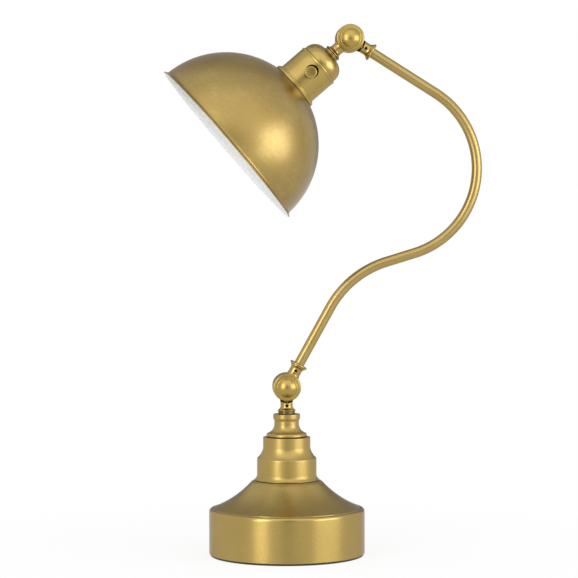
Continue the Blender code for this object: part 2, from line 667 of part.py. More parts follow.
def knuckle_hardware(prefix, seat):
    """Bolt, nut and washers, which stay with the half behind the hinge's mid-plane."""
    face = KNUCKLE_DEPTH + GAP
    bolt_end = face + SPRING_WASHER_THICKNESS + GAP + PIVOT_NUT_THICKNESS + BOLT_TAIL
    turned(prefix + "_pivot_bolt", [
        (0.0, face + BOLT_HEAD_THICKNESS),
        (BOLT_HEAD_RADIUS - BOLT_EDGE, face + BOLT_HEAD_THICKNESS),
        (BOLT_HEAD_RADIUS, face + BOLT_HEAD_THICKNESS - BOLT_EDGE),
        (BOLT_HEAD_RADIUS, face),
        (BOLT_RADIUS, face),
        (BOLT_RADIUS, -bolt_end),
        (0.0, -bolt_end),
    ], STEPS_SMALL, STEEL, seat, rotation=(FRONT, 0, 0))
    turned(prefix + "_friction_washer",
           washer_profile(BOLT_RADIUS + GAP, HUB_RADIUS, -FRICTION_WASHER_THICKNESS / 2,
                          FRICTION_WASHER_THICKNESS / 2),
           STEPS_SMALL, FIBRE, seat, rotation=(REAR, 0, 0))
    turned(prefix + "_spring_washer",
           washer_profile(BOLT_RADIUS + GAP, BOLT_HEAD_RADIUS, face,
                          face + SPRING_WASHER_THICKNESS),
           STEPS_SMALL, STEEL, seat, rotation=(REAR, 0, 0))
    nut_face = face + SPRING_WASHER_THICKNESS + GAP
    nut_seat = add_empty(prefix + "_nut_seat", seat, rotation=(REAR, 0, 0))
    hex_nut(prefix + "_pivot_nut", PIVOT_NUT_FLATS, PIVOT_NUT_THICKNESS, BOLT_RADIUS + GAP,
            nut_seat, (0, 0, nut_face))


knuckle_half("lower_knuckle_rear", base_seat, REAR, base_neck_length, ROD_RADIUS)
knuckle_half("lower_knuckle_front", lower_seat, FRONT, KNUCKLE_RADIUS + LOWER_FERRULE_REACH, TUBE_RADIUS, True)
knuckle_half("upper_knuckle_rear", upper_seat, REAR, KNUCKLE_RADIUS + UPPER_FERRULE_REACH, TUBE_RADIUS, True)
knuckle_half("upper_knuckle_front", head_pivot, FRONT, head_neck_length, ROD_RADIUS,
             screwed=False)
knuckle_cap("lower_cap_rear", base_seat, REAR)
knuckle_cap("lower_cap_front", lower_seat, FRONT)
knuckle_cap("upper_cap_rear", upper_seat, REAR)
knuckle_cap("upper_cap_front", head_pivot, FRONT)
knuckle_hardware("lower", base_seat)
knuckle_hardware("upper", upper_seat)
set_screw("stem_set_screw", base_seat, ROD_RADIUS)
set_screw("lower_ferrule_set_screw", lower_seat, TUBE_RADIUS)
set_screw("upper_ferrule_set_screw", upper_seat, TUBE_RADIUS)

# ------------------------------------------------------------------------ arm
tube_inset = seat_floor_distance + GAP
tube_points, _, _ = arm_path(tube_inset, tube_inset)
arm_tube = wire("arm_tube", [(x, 0, z - lower_knuckle_height) for x, z in tube_points],
                TUBE_RADIUS, BRASS, arm_pivot, caps=False, resolution=4)
thicken(arm_tube, TUBE_WALL)

lead_inset = KNUCKLE_RADIUS + SADDLE_GAP + GAP
lead_points, _, _ = arm_path(lead_inset, lead_inset)
wire("arm_lead", [(x, 0, z - lower_knuckle_height) for x, z in lead_points],
     WIRE_RADIUS, WIRE, arm_pivot)

# The base lead runs from the gland through the weight's slot and up the rod.
lead_floor = shell_foot + GAP + WIRE_RADIUS
bend = ROD_FOOT_HEIGHT - lead_floor + LEAD_BEND_EXTRA
base_lead_points = [
    (0, gland_outside - GLAND_DEPTH / 2, GLAND_HEIGHT),
    (0, gland_outside - GLAND_DEPTH - GAP, GLAND_HEIGHT),
    (0, gland_outside * 0.75, (GLAND_HEIGHT + lead_floor) / 2),
    (0, gland_outside * 0.50, lead_floor + GAP),
    (0, gland_outside * 0.30, lead_floor),
    (0, bend, lead_floor),
]
for quarter in (30, 60, 90):
    turn = math.radians(quarter)
    base_lead_points.append(
        (0, bend * (1 - math.sin(turn)), lead_floor + bend * (1 - math.cos(turn))))
base_lead_points.append((0, 0, lower_knuckle_height - lead_inset))
wire("base_lead", base_lead_points, WIRE_RADIUS, WIRE)

# ----------------------------------------------------------------------- head
crown_angle = math.acos((lampholder_radius + CROWN_CLEARANCE) / SHADE_RADIUS)
lip_angle = math.asin(LIP_HEIGHT / SHADE_RADIUS)
dome_pieces = 10
shade_outline = []
for i in range(dome_pieces + 1):
    angle = crown_angle + (lip_angle - crown_angle) * i / dome_pieces
    shade_outline.append((SHADE_RADIUS * math.cos(angle), SHADE_RADIUS * math.sin(angle)))
shade_outline += bow(shade_outline[-1], (SHADE_RADIUS + LIP_WIDTH, LIP_EDGE_HEIGHT),
                     LIP_HOLLOW, 2)
shade_outline = [(radius, along_head(height)) for radius, height in shade_outline]
thicken(turned("shade", shade_outline, STEPS_LARGE, BRASS, head_pivot, closed=False), SHADE_WALL)

plate_hole = lampholder_radius + GAP
step_radius = housing_radius + STEP_LEDGE
turned("shade_collar", [
    (plate_hole, along_head(step_top)),
    (step_radius - PLATE_EDGE, along_head(step_top)),
    (step_radius, along_head(step_top - PLATE_EDGE)),
    (step_radius, along_head(plate_top)),
    (plate_radius - PLATE_EDGE, along_head(plate_top)),
    (plate_radius, along_head(plate_top - PLATE_EDGE)),
    (plate_radius, along_head(plate_foot)),
    (plate_hole, along_head(dome_height(plate_hole) + GAP + PLATE_RELIEF)),
], STEPS_MEDIUM, BRASS, head_pivot)

housing = turned("socket_housing",
                 washer_profile(housing_radius - HOUSING_WALL, housing_radius,
                                along_head(housing_foot), along_head(housing_top)),
                 STEPS_MEDIUM, BRASS, head_pivot)
boolean(housing, turned(
    "knob_hole",
    rod_profile(KNOB_RADIUS + KNOB_HOLE_CLEARANCE, housing_radius / 2, housing_radius * 1.5),
    STEPS_SMALL, None, head_pivot,
    location=(0, 0, along_head(knob_height + KNOB_HOLE_OFFSET)), rotation=(FRONT, 0, 0)))

shoulder_radius = housing_radius - SOCKET_CAP_SHOULDER_INSET
bead_radius = housing_radius + SOCKET_CAP_BEAD_LEDGE
cap_outline = [(rod_hole, socket_cap_top), (SOCKET_CAP_FLAT_RADIUS, socket_cap_top)]
cap_outline += bow((SOCKET_CAP_FLAT_RADIUS, socket_cap_top), (shoulder_radius, bead_top),
                   -SOCKET_CAP_BULGE, 5)
cap_outline += [
    (bead_radius, bead_top - SOCKET_CAP_BEAD_EDGE),
    (bead_radius, bead_foot + SOCKET_CAP_BEAD_EDGE),
    (bead_radius - SOCKET_CAP_BEAD_EDGE, bead_foot),
]
cap_outline = [(radius, along_head(height)) for radius, height in cap_outline]
thicken(turned("socket_cap", cap_outline, STEPS_MEDIUM, BRASS, head_pivot, closed=False),
        SOCKET_CAP_WALL)

turned("head_locknut",
       washer_profile(rod_hole, LOCKNUT_RADIUS, along_head(socket_cap_top + GAP),
                      along_head(socket_cap_top + GAP + LOCKNUT_THICKNESS)),
       STEPS_MEDIUM, BRASS_DARK, head_pivot)
nipple_foot = socket_cap_top - SOCKET_CAP_WALL - GAP - NUT_THICKNESS - BOLT_TAIL
turned("head_nipple",
       washer_profile(ROD_BORE, ROD_RADIUS, along_head(nipple_foot), -seat_floor_distance - GAP),
       STEPS_SMALL, STEEL, head_pivot)
hex_nut("head_nut", NUT_FLATS, NUT_THICKNESS, rod_hole, head_pivot,
        (0, 0, along_head(socket_cap_top - SOCKET_CAP_WALL - GAP - NUT_THICKNESS)))

# Lampholder: a closed cup that opens into the shade, clamped by the ring below the crown.
turned("lampholder", [
    (0.0, along_head(lampholder_top)),
    (lampholder_radius, along_head(lampholder_top)),
    (lampholder_radius, along_head(lampholder_mouth)),
    (LAMPHOLDER_BORE, along_head(lampholder_mouth)),
    (LAMPHOLDER_BORE, along_head(lampholder_floor)),
    (0.0, along_head(lampholder_floor)),
], STEPS_MEDIUM, PHENOLIC, head_pivot)
screw_shell_radius = LAMPHOLDER_BORE - GAP
screw_shell_top = lampholder_floor - GAP
turned("screw_shell",
       washer_profile(screw_shell_radius - SCREW_SHELL_WALL, screw_shell_radius,
                      along_head(screw_shell_top - SCREW_SHELL_LENGTH),
                      along_head(screw_shell_top)),
       STEPS_MEDIUM, BRASS, head_pivot)
turned("centre_contact",
       rod_profile(CONTACT_RADIUS, along_head(screw_shell_top - CONTACT_THICKNESS),
                   along_head(screw_shell_top)),
       STEPS_SMALL, BRASS, head_pivot)
ring_radius = plate_hole + RETAINING_RING_WIDTH
ring_top = dome_height(ring_radius, SHADE_RADIUS - SHADE_WALL) - GAP
turned("retaining_ring",
       washer_profile(plate_hole, ring_radius,
                      along_head(ring_top - RETAINING_RING_HEIGHT), along_head(ring_top)),
       STEPS_MEDIUM, PHENOLIC, head_pivot)

# Switch block on top of the lampholder, with the knob's shaft out of its front.
switch_body = box("switch_body", (SWITCH_WIDTH, SWITCH_DEPTH, SWITCH_HEIGHT), PHENOLIC,
                  head_pivot, location=(0, 0, along_head(switch_foot + SWITCH_HEIGHT / 2)))
shaft_start = SWITCH_DEPTH / 4
boolean(switch_body, turned(
    "shaft_hole", rod_profile(KNOB_SHAFT_RADIUS + GAP, shaft_start, SWITCH_DEPTH),
    STEPS_SMALL, None, head_pivot, location=(0, 0, along_head(knob_height)),
    rotation=(FRONT, 0, 0)))
for side, label in ((-1, "left"), (1, "right")):
    turned(label + "_terminal_screw", rod_profile(TERMINAL_RADIUS, 0.0, TERMINAL_LENGTH),
           STEPS_TINY, BRASS, head_pivot,
           location=(side * (SWITCH_WIDTH / 2 + GAP), 0,
                     along_head(switch_foot + SWITCH_HEIGHT / 2)),
           rotation=(0, side * math.pi / 2, 0))
wire("head_lead",
     [(0, 0, along_head(switch_foot + SWITCH_HEIGHT + GAP)), (0, 0, -lead_inset)],
     WIRE_RADIUS, WIRE, head_pivot)

# ----------------------------------------------------------------------- knob
knob_axis = add_empty("knob_axis", head_pivot, location=(0, 0, along_head(knob_height)),
                      rotation=(FRONT, 0, 0))
knob_back = housing_radius + KNOB_STANDOFF
knob_face = knob_back + KNOB_THICKNESS
blind_end = knob_face - KNOB_FACE_WALL
turned("switch_knob", [
    (0.0, knob_face),
    (KNOB_RADIUS - KNOB_EDGE, knob_face),
    (KNOB_RADIUS, knob_face - KNOB_EDGE),
    (KNOB_RADIUS, knob_back),
    (KNOB_SHAFT_RADIUS + GAP, knob_back),
    (KNOB_SHAFT_RADIUS + GAP, blind_end),
    (0.0, blind_end),
], STEPS_SMALL, BRASS, knob_axis)
turned("knob_shaft", rod_profile(KNOB_SHAFT_RADIUS, shaft_start + GAP, blind_end - GAP),
       STEPS_SMALL, STEEL, knob_axis)
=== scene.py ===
"""Looks of the swing arm desk lamp: satin brass turnings, spun shade, white enamel inside.

Every brass piece is turned, bent or cut here as it is in the shop, in metres, and set
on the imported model's bodies.  The arm lies in the XZ plane and the front faces -Y.
"""
import json
import math

import bpy
from mathutils import Matrix, Vector


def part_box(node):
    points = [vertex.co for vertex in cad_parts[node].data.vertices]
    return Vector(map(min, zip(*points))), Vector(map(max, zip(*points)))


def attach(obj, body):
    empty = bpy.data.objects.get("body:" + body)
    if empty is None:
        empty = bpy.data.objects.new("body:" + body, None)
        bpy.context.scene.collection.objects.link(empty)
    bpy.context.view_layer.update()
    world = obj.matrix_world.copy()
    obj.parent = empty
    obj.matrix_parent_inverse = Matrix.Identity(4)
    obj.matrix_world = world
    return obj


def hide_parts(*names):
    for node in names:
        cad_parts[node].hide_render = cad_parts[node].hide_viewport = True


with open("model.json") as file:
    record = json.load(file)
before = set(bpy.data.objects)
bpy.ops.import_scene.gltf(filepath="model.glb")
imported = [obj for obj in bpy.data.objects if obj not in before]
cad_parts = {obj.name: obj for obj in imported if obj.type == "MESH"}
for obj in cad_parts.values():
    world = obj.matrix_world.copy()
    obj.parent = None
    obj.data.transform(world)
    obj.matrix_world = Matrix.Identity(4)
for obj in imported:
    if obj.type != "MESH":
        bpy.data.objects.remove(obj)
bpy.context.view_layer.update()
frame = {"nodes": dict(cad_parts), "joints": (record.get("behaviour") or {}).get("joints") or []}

# ---- places on the lamp
hinge = {joint["name"]: Vector(joint["pos_m"]) for joint in frame["joints"]}
LOWER_AXIS = hinge["arm_lean"]
UPPER_AXIS = hinge["head_tilt"]
ARM_LEAN = math.radians(29.1)  # lower straight of the arm, from upright
LOWER_BEND = math.radians(44.0)
UPPER_BEND = math.radians(130.9)
HEAD_LEAN = math.radians(49.4)  # the head's axis, from upright
UPPER_LEAN = ARM_LEAN + LOWER_BEND - UPPER_BEND

UPRIGHT = Matrix.Identity(4)
STEM_SEAT = Matrix.Translation(LOWER_AXIS)
LOWER_SEAT = STEM_SEAT @ Matrix.Rotation(math.pi + ARM_LEAN, 4, "Y")
UPPER_SEAT = Matrix.Translation(UPPER_AXIS) @ Matrix.Rotation(UPPER_LEAN, 4, "Y")
HEAD_SEAT = Matrix.Translation(UPPER_AXIS) @ Matrix.Rotation(HEAD_LEAN, 4, "Y")
TO_FRONT = Matrix.Rotation(math.radians(90), 4, "X")  # a piece's +Z turned to -Y
TO_REAR = Matrix.Rotation(math.radians(-90), 4, "X")

MM = 0.001
GAP = 0.3 * MM  # running gap between pieces that touch


def foot_and_top(name):
    low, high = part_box(name)
    return low.z, high.z


def half_width(name):
    low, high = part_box(name)
    return (high.y - low.y) / 2


RIM_TO_PIVOT = 0.15898  # along the head's axis, rim plane to upper hinge
SHADE_RADIUS = 0.0900


# ---- shader helpers
def wire_up(tree, *links):
    for source, target in links:
        tree.links.new(source, target)


def add_node(tree, kind, **settings):
    node = tree.nodes.new(kind)
    for key, value in settings.items():
        setattr(node, key, value)
    return node


def feed(tree, value, socket):
    """Sets a socket to a number or colour, or wires another socket into it."""
    if isinstance(value, tuple):
        socket.default_value = (*value, 1.0)
    elif isinstance(value, (int, float)):
        socket.default_value = value
    else:
        tree.links.new(value, socket)


def maths(tree, operation, *values, clamp=False):
    node = add_node(tree, "ShaderNodeMath", operation=operation, use_clamp=clamp)
    for socket, value in zip(node.inputs, values):
        feed(tree, value, socket)
    return node.outputs[0]


def times(tree, *values, **settings):
    return maths(tree, "MULTIPLY", *values, **settings)


def remap(tree, value, low, high, to_low=0.0, to_high=1.0):
    node = add_node(tree, "ShaderNodeMapRange", clamp=True)
    for name, given in (("Value", value), ("From Min", low), ("From Max", high),
                        ("To Min", to_low), ("To Max", to_high)):
        feed(tree, given, node.inputs[name])
    return node.outputs["Result"]


def blend_colours(tree, mask, first, second):
    node = add_node(tree, "ShaderNodeMix", data_type="RGBA")
    for place, value in ((0, mask), (6, first), (7, second)):
        feed(tree, value, node.inputs[place])
    return node.outputs[2]


def noise(tree, vector, scale, detail, roughness):
    node = add_node(tree, "ShaderNodeTexNoise", noise_dimensions="3D")
    for name, given in (("Vector", vector), ("Scale", scale), ("Detail", detail),
                        ("Roughness", roughness)):
        feed(tree, given, node.inputs[name])
    return node.outputs["Fac"]


def new_group(name, inputs, outputs):
    """An empty node group with named sockets: returns it with its two end nodes."""
    group = bpy.data.node_groups.new(name, "ShaderNodeTree")
    for label, kind, value in inputs:
        socket = group.interface.new_socket(name=label, in_out="INPUT", socket_type=kind)
        if value is not None:
            socket.default_value = value
    for label, kind in outputs:
        group.interface.new_socket(name=label, in_out="OUTPUT", socket_type=kind)
    start = group.nodes.new("NodeGroupInput")
    end = group.nodes.new("NodeGroupOutput")
    return group, start.outputs, end.inputs


FLOAT = "NodeSocketFloat"
VECTOR = "NodeSocketVector"


def make_turning_lines():
    """Fine lines left by the lathe: they run round the piece's own Z axis."""
    group, given, out = new_group(
        "turning_lines",
        [("Vector", VECTOR, None), ("Spacing", FLOAT, 0.0004), ("Unevenness", FLOAT, 0.5)],
        [("Height", FLOAT), ("Streak", FLOAT)])
    parts = add_node(group, "ShaderNodeSeparateXYZ")
    wire_up(group, (given["Vector"], parts.inputs[0]))
    across = maths(group, "SQRT", maths(
        group, "ADD", times(group, parts.outputs["X"], parts.outputs["X"]),
        times(group, parts.outputs["Y"], parts.outputs["Y"])))
    section = add_node(group, "ShaderNodeCombineXYZ")
    wire_up(group, (across, section.inputs["X"]), (parts.outputs["Z"], section.inputs["Y"]))
    pitch = maths(group, "DIVIDE", 1.0, given["Spacing"])
    fine = noise(group, section.outputs[0], pitch, 2.0, 0.6)
    coarse = noise(group, section.outputs[0], times(group, pitch, 0.13), 2.0, 0.5)
    # The tool's chatter fades in and out along each line.
    fade = noise(group, given["Vector"], 60.0, 2.0, 0.5)
    shallow = maths(group, "SUBTRACT", 1.0, given["Unevenness"])
    depth = remap(group, fade, 0.35, 0.65, shallow, 1.0)
    wire_up(group, (times(group, fine, depth), out["Height"]),
            (maths(group, "MULTIPLY_ADD", coarse, 0.6, times(group, fine, 0.4)), out["Streak"]))
    return group


def make_mottle():
    """Cloudy patches and fine specks of a hand-aged brass skin."""
    group, given, out = new_group(
        "aged_mottle",
        [("Vector", VECTOR, None), ("Cloud Scale", FLOAT, 28.0), ("Speck Scale", FLOAT, 900.0)],
        [("Cloud", FLOAT), ("Speck", FLOAT)])
    cloud = noise(group, given["Vector"], given["Cloud Scale"], 5.0, 0.62)
    speck = noise(group, given["Vector"], given["Speck Scale"], 2.0, 0.7)
    wire_up(group, (remap(group, cloud, 0.32, 0.68), out["Cloud"]),
            (remap(group, speck, 0.30, 0.70), out["Speck"]))
    return group


def make_edge_wear_and_shade():
    """Where handling has rubbed the lacquer off proud edges, and painted shade that darkens the
    creases.
    """
    group, given, out = new_group(
        "edge_wear_and_crease_shade",
        [("Vector", VECTOR, None), ("Pointiness", FLOAT, 0.5), ("Start", FLOAT, 0.54),
         ("Reach", FLOAT, 0.05)],
        [("Worn", FLOAT), ("Crease Shade", FLOAT)])
    ragged = noise(group, given["Vector"], 420.0, 4.0, 0.7)
    lifted = maths(group, "MULTIPLY_ADD", ragged, 0.04, given["Pointiness"])
    full = maths(group, "ADD", given["Start"], given["Reach"])
    worn = remap(group, lifted, given["Start"], full)
    # Painted shade: the crease mask darkens hollows where shade falls.
    crease = remap(group, given["Pointiness"], 0.492,
                   maths(group, "SUBTRACT", 0.492, given["Reach"]))
    wire_up(group, (worn, out["Worn"]), (crease, out["Crease Shade"]))
    return group


def make_settled_dust():
    """A thin film on what faces up, broken into fine flecks."""
    group, given, out = new_group(
        "settled_dust",
        [("Vector", VECTOR, None), ("Normal", VECTOR, None), ("Amount", FLOAT, 0.3)],
        [("Dust", FLOAT)])
    up = add_node(group, "ShaderNodeSeparateXYZ")
    wire_up(group, (given["Normal"], up.inputs[0]))
    facing = remap(group, up.outputs["Z"], 0.35, 1.0)
    flecks = remap(group, noise(group, given["Vector"], 700.0, 3.0, 0.75), 0.50, 0.72)
    film = noise(group, given["Vector"], 40.0, 3.0, 0.5)
    both = maths(group, "MULTIPLY_ADD", flecks, 0.7, times(group, film, 0.35))
    dust = times(group, times(group, both, facing), given["Amount"], clamp=True)
    wire_up(group, (dust, out["Dust"]))
    return group


TURNING_LINES = make_turning_lines()
AGED_MOTTLE = make_mottle()
EDGE_WEAR_AND_SHADE = make_edge_wear_and_shade()
SETTLED_DUST = make_settled_dust()


def place_group(tree, group, **values):
    node = add_node(tree, "ShaderNodeGroup", node_tree=group)
    for label, value in values.items():
        feed(tree, value, node.inputs[label.replace("_", " ")])
    return node.outputs


def start_material(name, seat=UPRIGHT):
    """A material with its pattern in the piece's own frame: also its tree, shader, vector."""
    material = bpy.data.materials.new(name)
    material.use_nodes = True
    tree = material.node_tree
    shader = tree.nodes["Principled BSDF"]
    where = add_node(tree, "ShaderNodeTexCoord")
    centred = add_node(tree, "ShaderNodeMapping", vector_type="TEXTURE")
    centred.inputs["Location"].default_value = seat.to_translation()
    centred.inputs["Rotation"].default_value = seat.to_euler("XYZ")
    wire_up(tree, (where.outputs["Object"], centred.inputs["Vector"]))
    return material, tree, shader, centred.outputs["Vector"]


def bump(tree, shader, height, distance):
    node = add_node(tree, "ShaderNodeBump")
    node.inputs["Strength"].default_value = 1.0
    node.inputs["Distance"].default_value = distance
    wire_up(tree, (height, node.inputs["Height"]),
            (node.outputs["Normal"], shader.inputs["Normal"]))


DUST_TONE = (0.46, 0.42, 0.34)


def brass(name, seat, tones, smooth, rough, lines, line_depth, dust=0.10, tarnish=0.5,
          edges=0.56, specks=900.0, lacquer=0.7, sheen_edge=(0.50, 0.44, 0.34), brushed=0.0):
    """Lacquered brass: base tone, tarnish in clouds, painted shade in the creases, rubbed edges.

    tones are the clean, the tarnished and the rubbed tone; lines is the lathe lines' spacing.
    """
    tone, deep_tone, worn_tone = tones
    material, tree, shader, vector = start_material(name, seat)
    form = add_node(tree, "ShaderNodeNewGeometry")
    skin = place_group(tree, AGED_MOTTLE, Vector=vector, Speck_Scale=specks)
    turning = place_group(tree, TURNING_LINES, Vector=vector, Spacing=lines)
    wear_and_shade = place_group(tree, EDGE_WEAR_AND_SHADE, Vector=vector, Pointiness=form.outputs["Pointiness"],
                       Start=edges)
    film = place_group(tree, SETTLED_DUST, Vector=vector, Normal=form.outputs["Normal"],
                       Amount=dust)
    age = maths(tree, "MULTIPLY_ADD", skin["Cloud"], 0.55 * tarnish,
                times(tree, skin["Speck"], 0.30 * tarnish))
    age = maths(tree, "MULTIPLY_ADD", turning["Streak"], 0.35 * tarnish, age)
    aged = blend_colours(tree, age, tone, deep_tone)
    # Painted shade: the crease mask darkens the creases towards a deep tone.
    crease_shaded = blend_colours(tree, times(tree, wear_and_shade["Crease Shade"], 0.85), aged,
                           tuple(0.45 * part for part in deep_tone))
    rubbed = blend_colours(tree, times(tree, wear_and_shade["Worn"], 0.45), crease_shaded, worn_tone)
    dusted = blend_colours(tree, film["Dust"], rubbed, DUST_TONE)
    gloss = maths(tree, "MULTIPLY_ADD", skin["Speck"], (rough - smooth) * 0.6, smooth)
    gloss = maths(tree, "MULTIPLY_ADD", turning["Streak"], (rough - smooth) * 0.5, gloss)
    gloss = maths(tree, "MULTIPLY_ADD", wear_and_shade["Worn"], -0.06, gloss)
    gloss = maths(tree, "MULTIPLY_ADD", film["Dust"], 0.35, gloss, clamp=True)
    wire_up(tree, (dusted, shader.inputs["Base Color"]), (gloss, shader.inputs["Roughness"]),
            (maths(tree, "SUBTRACT", 1.0, film["Dust"]), shader.inputs["Metallic"]))
    grain = maths(tree, "MULTIPLY_ADD", skin["Speck"], 0.35, turning["Height"])
    bump(tree, shader, grain, line_depth)
    # A quarter turn sets the brushed lobe across the lines.
    for name, value in (("Specular Tint", sheen_edge), ("Anisotropic", brushed),
                        ("Anisotropic Rotation", 0.25), ("Coat Weight", lacquer),
                        ("Coat Roughness", 0.30)):
        feed(tree, value, shader.inputs[name])
    return material


SATIN_TONES = ((0.410, 0.287, 0.072), (0.295, 0.195, 0.036), (0.560, 0.425, 0.160))
ARM_TONES = ((0.43, 0.315, 0.120), *SATIN_TONES[1:])
POLISHED_TONES = ((0.43, 0.31, 0.10), (0.27, 0.175, 0.040), (0.66, 0.51, 0.22))
SHADOW_TONES = ((0.26, 0.18, 0.050), (0.12, 0.075, 0.018), (0.42, 0.30, 0.11))
BLACK_TONES = ((0.012, 0.009, 0.005), (0.005, 0.004, 0.002), (0.06, 0.045, 0.02))
CONTACT_TONES = ((0.72, 0.60, 0.32), (0.48, 0.36, 0.15), (0.85, 0.76, 0.50))


def satin(name, seat, smooth=0.24, rough=0.34, lines=0.00045, line_depth=2e-6,
          specks=900.0, brushed=0.0):
    return brass(name, seat, SATIN_TONES, smooth, rough, lines, line_depth, specks=specks,
                 brushed=brushed)


def polished(name, seat):
    return brass(name, seat, POLISHED_TONES, 0.19, 0.28, 0.0008, 5e-7, tarnish=0.6,
                 edges=0.66, specks=420.0, lacquer=0.3)


def pressed(name, seat):
    return brass(name, seat, SATIN_TONES, 0.27, 0.38, 0.0010, 7e-7, tarnish=0.45,
                 edges=0.68, specks=420.0, lacquer=0.4)


# Near-black brass: black oxide on the set screws, painted shade in the knuckle gaps and inside
# the socket cup.
def blackened_and_shade(name, seat):
    return brass(name, seat, BLACK_TONES, 0.50, 0.65, 0.0004, 3e-6, dust=0.0, lacquer=0.0,
                 edges=0.66, sheen_edge=(0.08, 0.07, 0.06))


SATIN_BASE = satin("satin_brass_base", UPRIGHT, brushed=0.6)
SATIN_COLUMN = satin("satin_brass_column", UPRIGHT, 0.33, 0.45, brushed=0.42)
SATIN_ARM = brass("satin_brass_arm", UPRIGHT, ARM_TONES, 0.30, 0.40, 0.0030, 5e-7,
                  tarnish=0.6, specks=450.0, lacquer=0.3, sheen_edge=(0.36, 0.29, 0.18))
SATIN_HEAD = satin("satin_brass_head", HEAD_SEAT, lines=0.0012, line_depth=1e-6, specks=420.0)
SATIN_KNOB = pressed("satin_brass_knob", HEAD_SEAT @ TO_FRONT)
SPUN_SHADE = brass("spun_brass_shade", HEAD_SEAT, SATIN_TONES, 0.33, 0.47, 0.0006, 4e-6,
                   tarnish=1.45, specks=480.0, lacquer=1.0, sheen_edge=(0.44, 0.38, 0.28))
POLISHED_STEM = polished("polished_brass_stem", STEM_SEAT)
POLISHED_LOWER = polished("polished_brass_lower_ferrule", LOWER_SEAT)
POLISHED_UPPER = polished("polished_brass_upper_ferrule", UPPER_SEAT)
POLISHED_HEAD = polished("polished_brass_head_neck", HEAD_SEAT)
SHADOW_STEM = brass("shadowed_brass_stem", STEM_SEAT, SHADOW_TONES, 0.24, 0.36, 0.0003,
                    3e-6, edges=0.66)
BLACKENED_AND_SHADE_STEM = blackened_and_shade("blackened_and_shade_brass_stem", STEM_SEAT)
PAINTED_SHADE_HEAD = blackened_and_shade("painted_shade_brass_head", HEAD_SEAT)
CONTACT_BRASS = brass("bright_contact_brass", HEAD_SEAT, CONTACT_TONES, 0.16, 0.28, 0.0005,
                      6e-6, dust=0.0)


def start_aged(name, seat, clouds, specks):
    """A material with its mottle, its rubbed edges and its painted crease shade in place."""
    material, tree, shader, vector = start_material(name, seat)
    form = add_node(tree, "ShaderNodeNewGeometry")
    skin = place_group(tree, AGED_MOTTLE, Vector=vector, Cloud_Scale=clouds, Speck_Scale=specks)
    wear_and_shade = place_group(tree, EDGE_WEAR_AND_SHADE, Vector=vector, Pointiness=form.outputs["Pointiness"])
    return material, tree, shader, skin, wear_and_shade


def make_white_enamel():
    material, tree, shader, skin, wear_and_shade = start_aged("white_enamel", HEAD_SEAT, 16.0, 1400.0)
    tone = blend_colours(tree, times(tree, skin["Cloud"], 0.4),
                         (0.775, 0.778, 0.768), (0.755, 0.758, 0.746))
    # Painted shade: the enamel darkens in its creases.
    tone = blend_colours(tree, times(tree, wear_and_shade["Crease Shade"], 0.25), tone, (0.60, 0.59, 0.55))
    wire_up(tree, (tone, shader.inputs["Base Color"]),
            (maths(tree, "MULTIPLY_ADD", skin["Speck"], 0.12, 0.48), shader.inputs["Roughness"]))
    bump(tree, shader, skin["Cloud"], 0.00002)
    shader.inputs["Specular IOR Level"].default_value = 0.30
    return material


def make_felt():
    material, tree, shader, vector = start_material("black_felt")
    fibres = noise(tree, vector, 2600.0, 4.0, 0.8)
    tufts = noise(tree, vector, 240.0, 4.0, 0.6)
    tone = blend_colours(tree, remap(tree, fibres, 0.35, 0.7), (0.010, 0.009, 0.008),
                         (0.045, 0.042, 0.040))
    wire_up(tree, (tone, shader.inputs["Base Color"]),
            (remap(tree, tufts, 0.3, 0.7, 0.85, 1.0), shader.inputs["Roughness"]))
    bump(tree, shader, maths(tree, "MULTIPLY_ADD", tufts, 0.7, fibres), 0.0003)
    shader.inputs["Sheen Weight"].default_value = 0.25
    return material


def make_mottled(name, seat, tone, patch_tone, rubbed_tone, rub, clouds, specks, smooth,
                 spread, depth, metal):
    """A skin in two close tones, roughened by its specks, with rubbed edges."""
    material, tree, shader, skin, wear_and_shade = start_aged(name, seat, clouds, specks)
    colour = blend_colours(tree, skin["Cloud"], tone, patch_tone)
    colour = blend_colours(tree, times(tree, wear_and_shade["Worn"], rub), colour, rubbed_tone)
    wire_up(tree, (colour, shader.inputs["Base Color"]),
            (maths(tree, "MULTIPLY_ADD", skin["Speck"], spread, smooth),
             shader.inputs["Roughness"]))
    shader.inputs["Metallic"].default_value = metal
    bump(tree, shader, skin["Speck"], depth)
    return material


def lighter(tone, gain):
    return tuple(min(1.0, gain * part) for part in tone)


def make_moulded(name, seat, tone, pale, smooth):
    """Phenolic, rubber, fibre and lead jackets."""
    return make_mottled(name, seat, tone, pale, lighter(pale, 2.2), 0.5, 70.0, 1600.0, smooth,
                        0.18, 0.00002, 0.0)


def make_plain_metal(name, tone, deep, smooth, grain_scale, grain_depth, metal=1.0):
    """Zinc plate and cast iron: crystals or sand grain over the whole surface."""
    return make_mottled(name, UPRIGHT, tone, deep, lighter(tone, 1.6), 0.4, 90.0, grain_scale,
                        smooth, 0.2, grain_depth, metal)


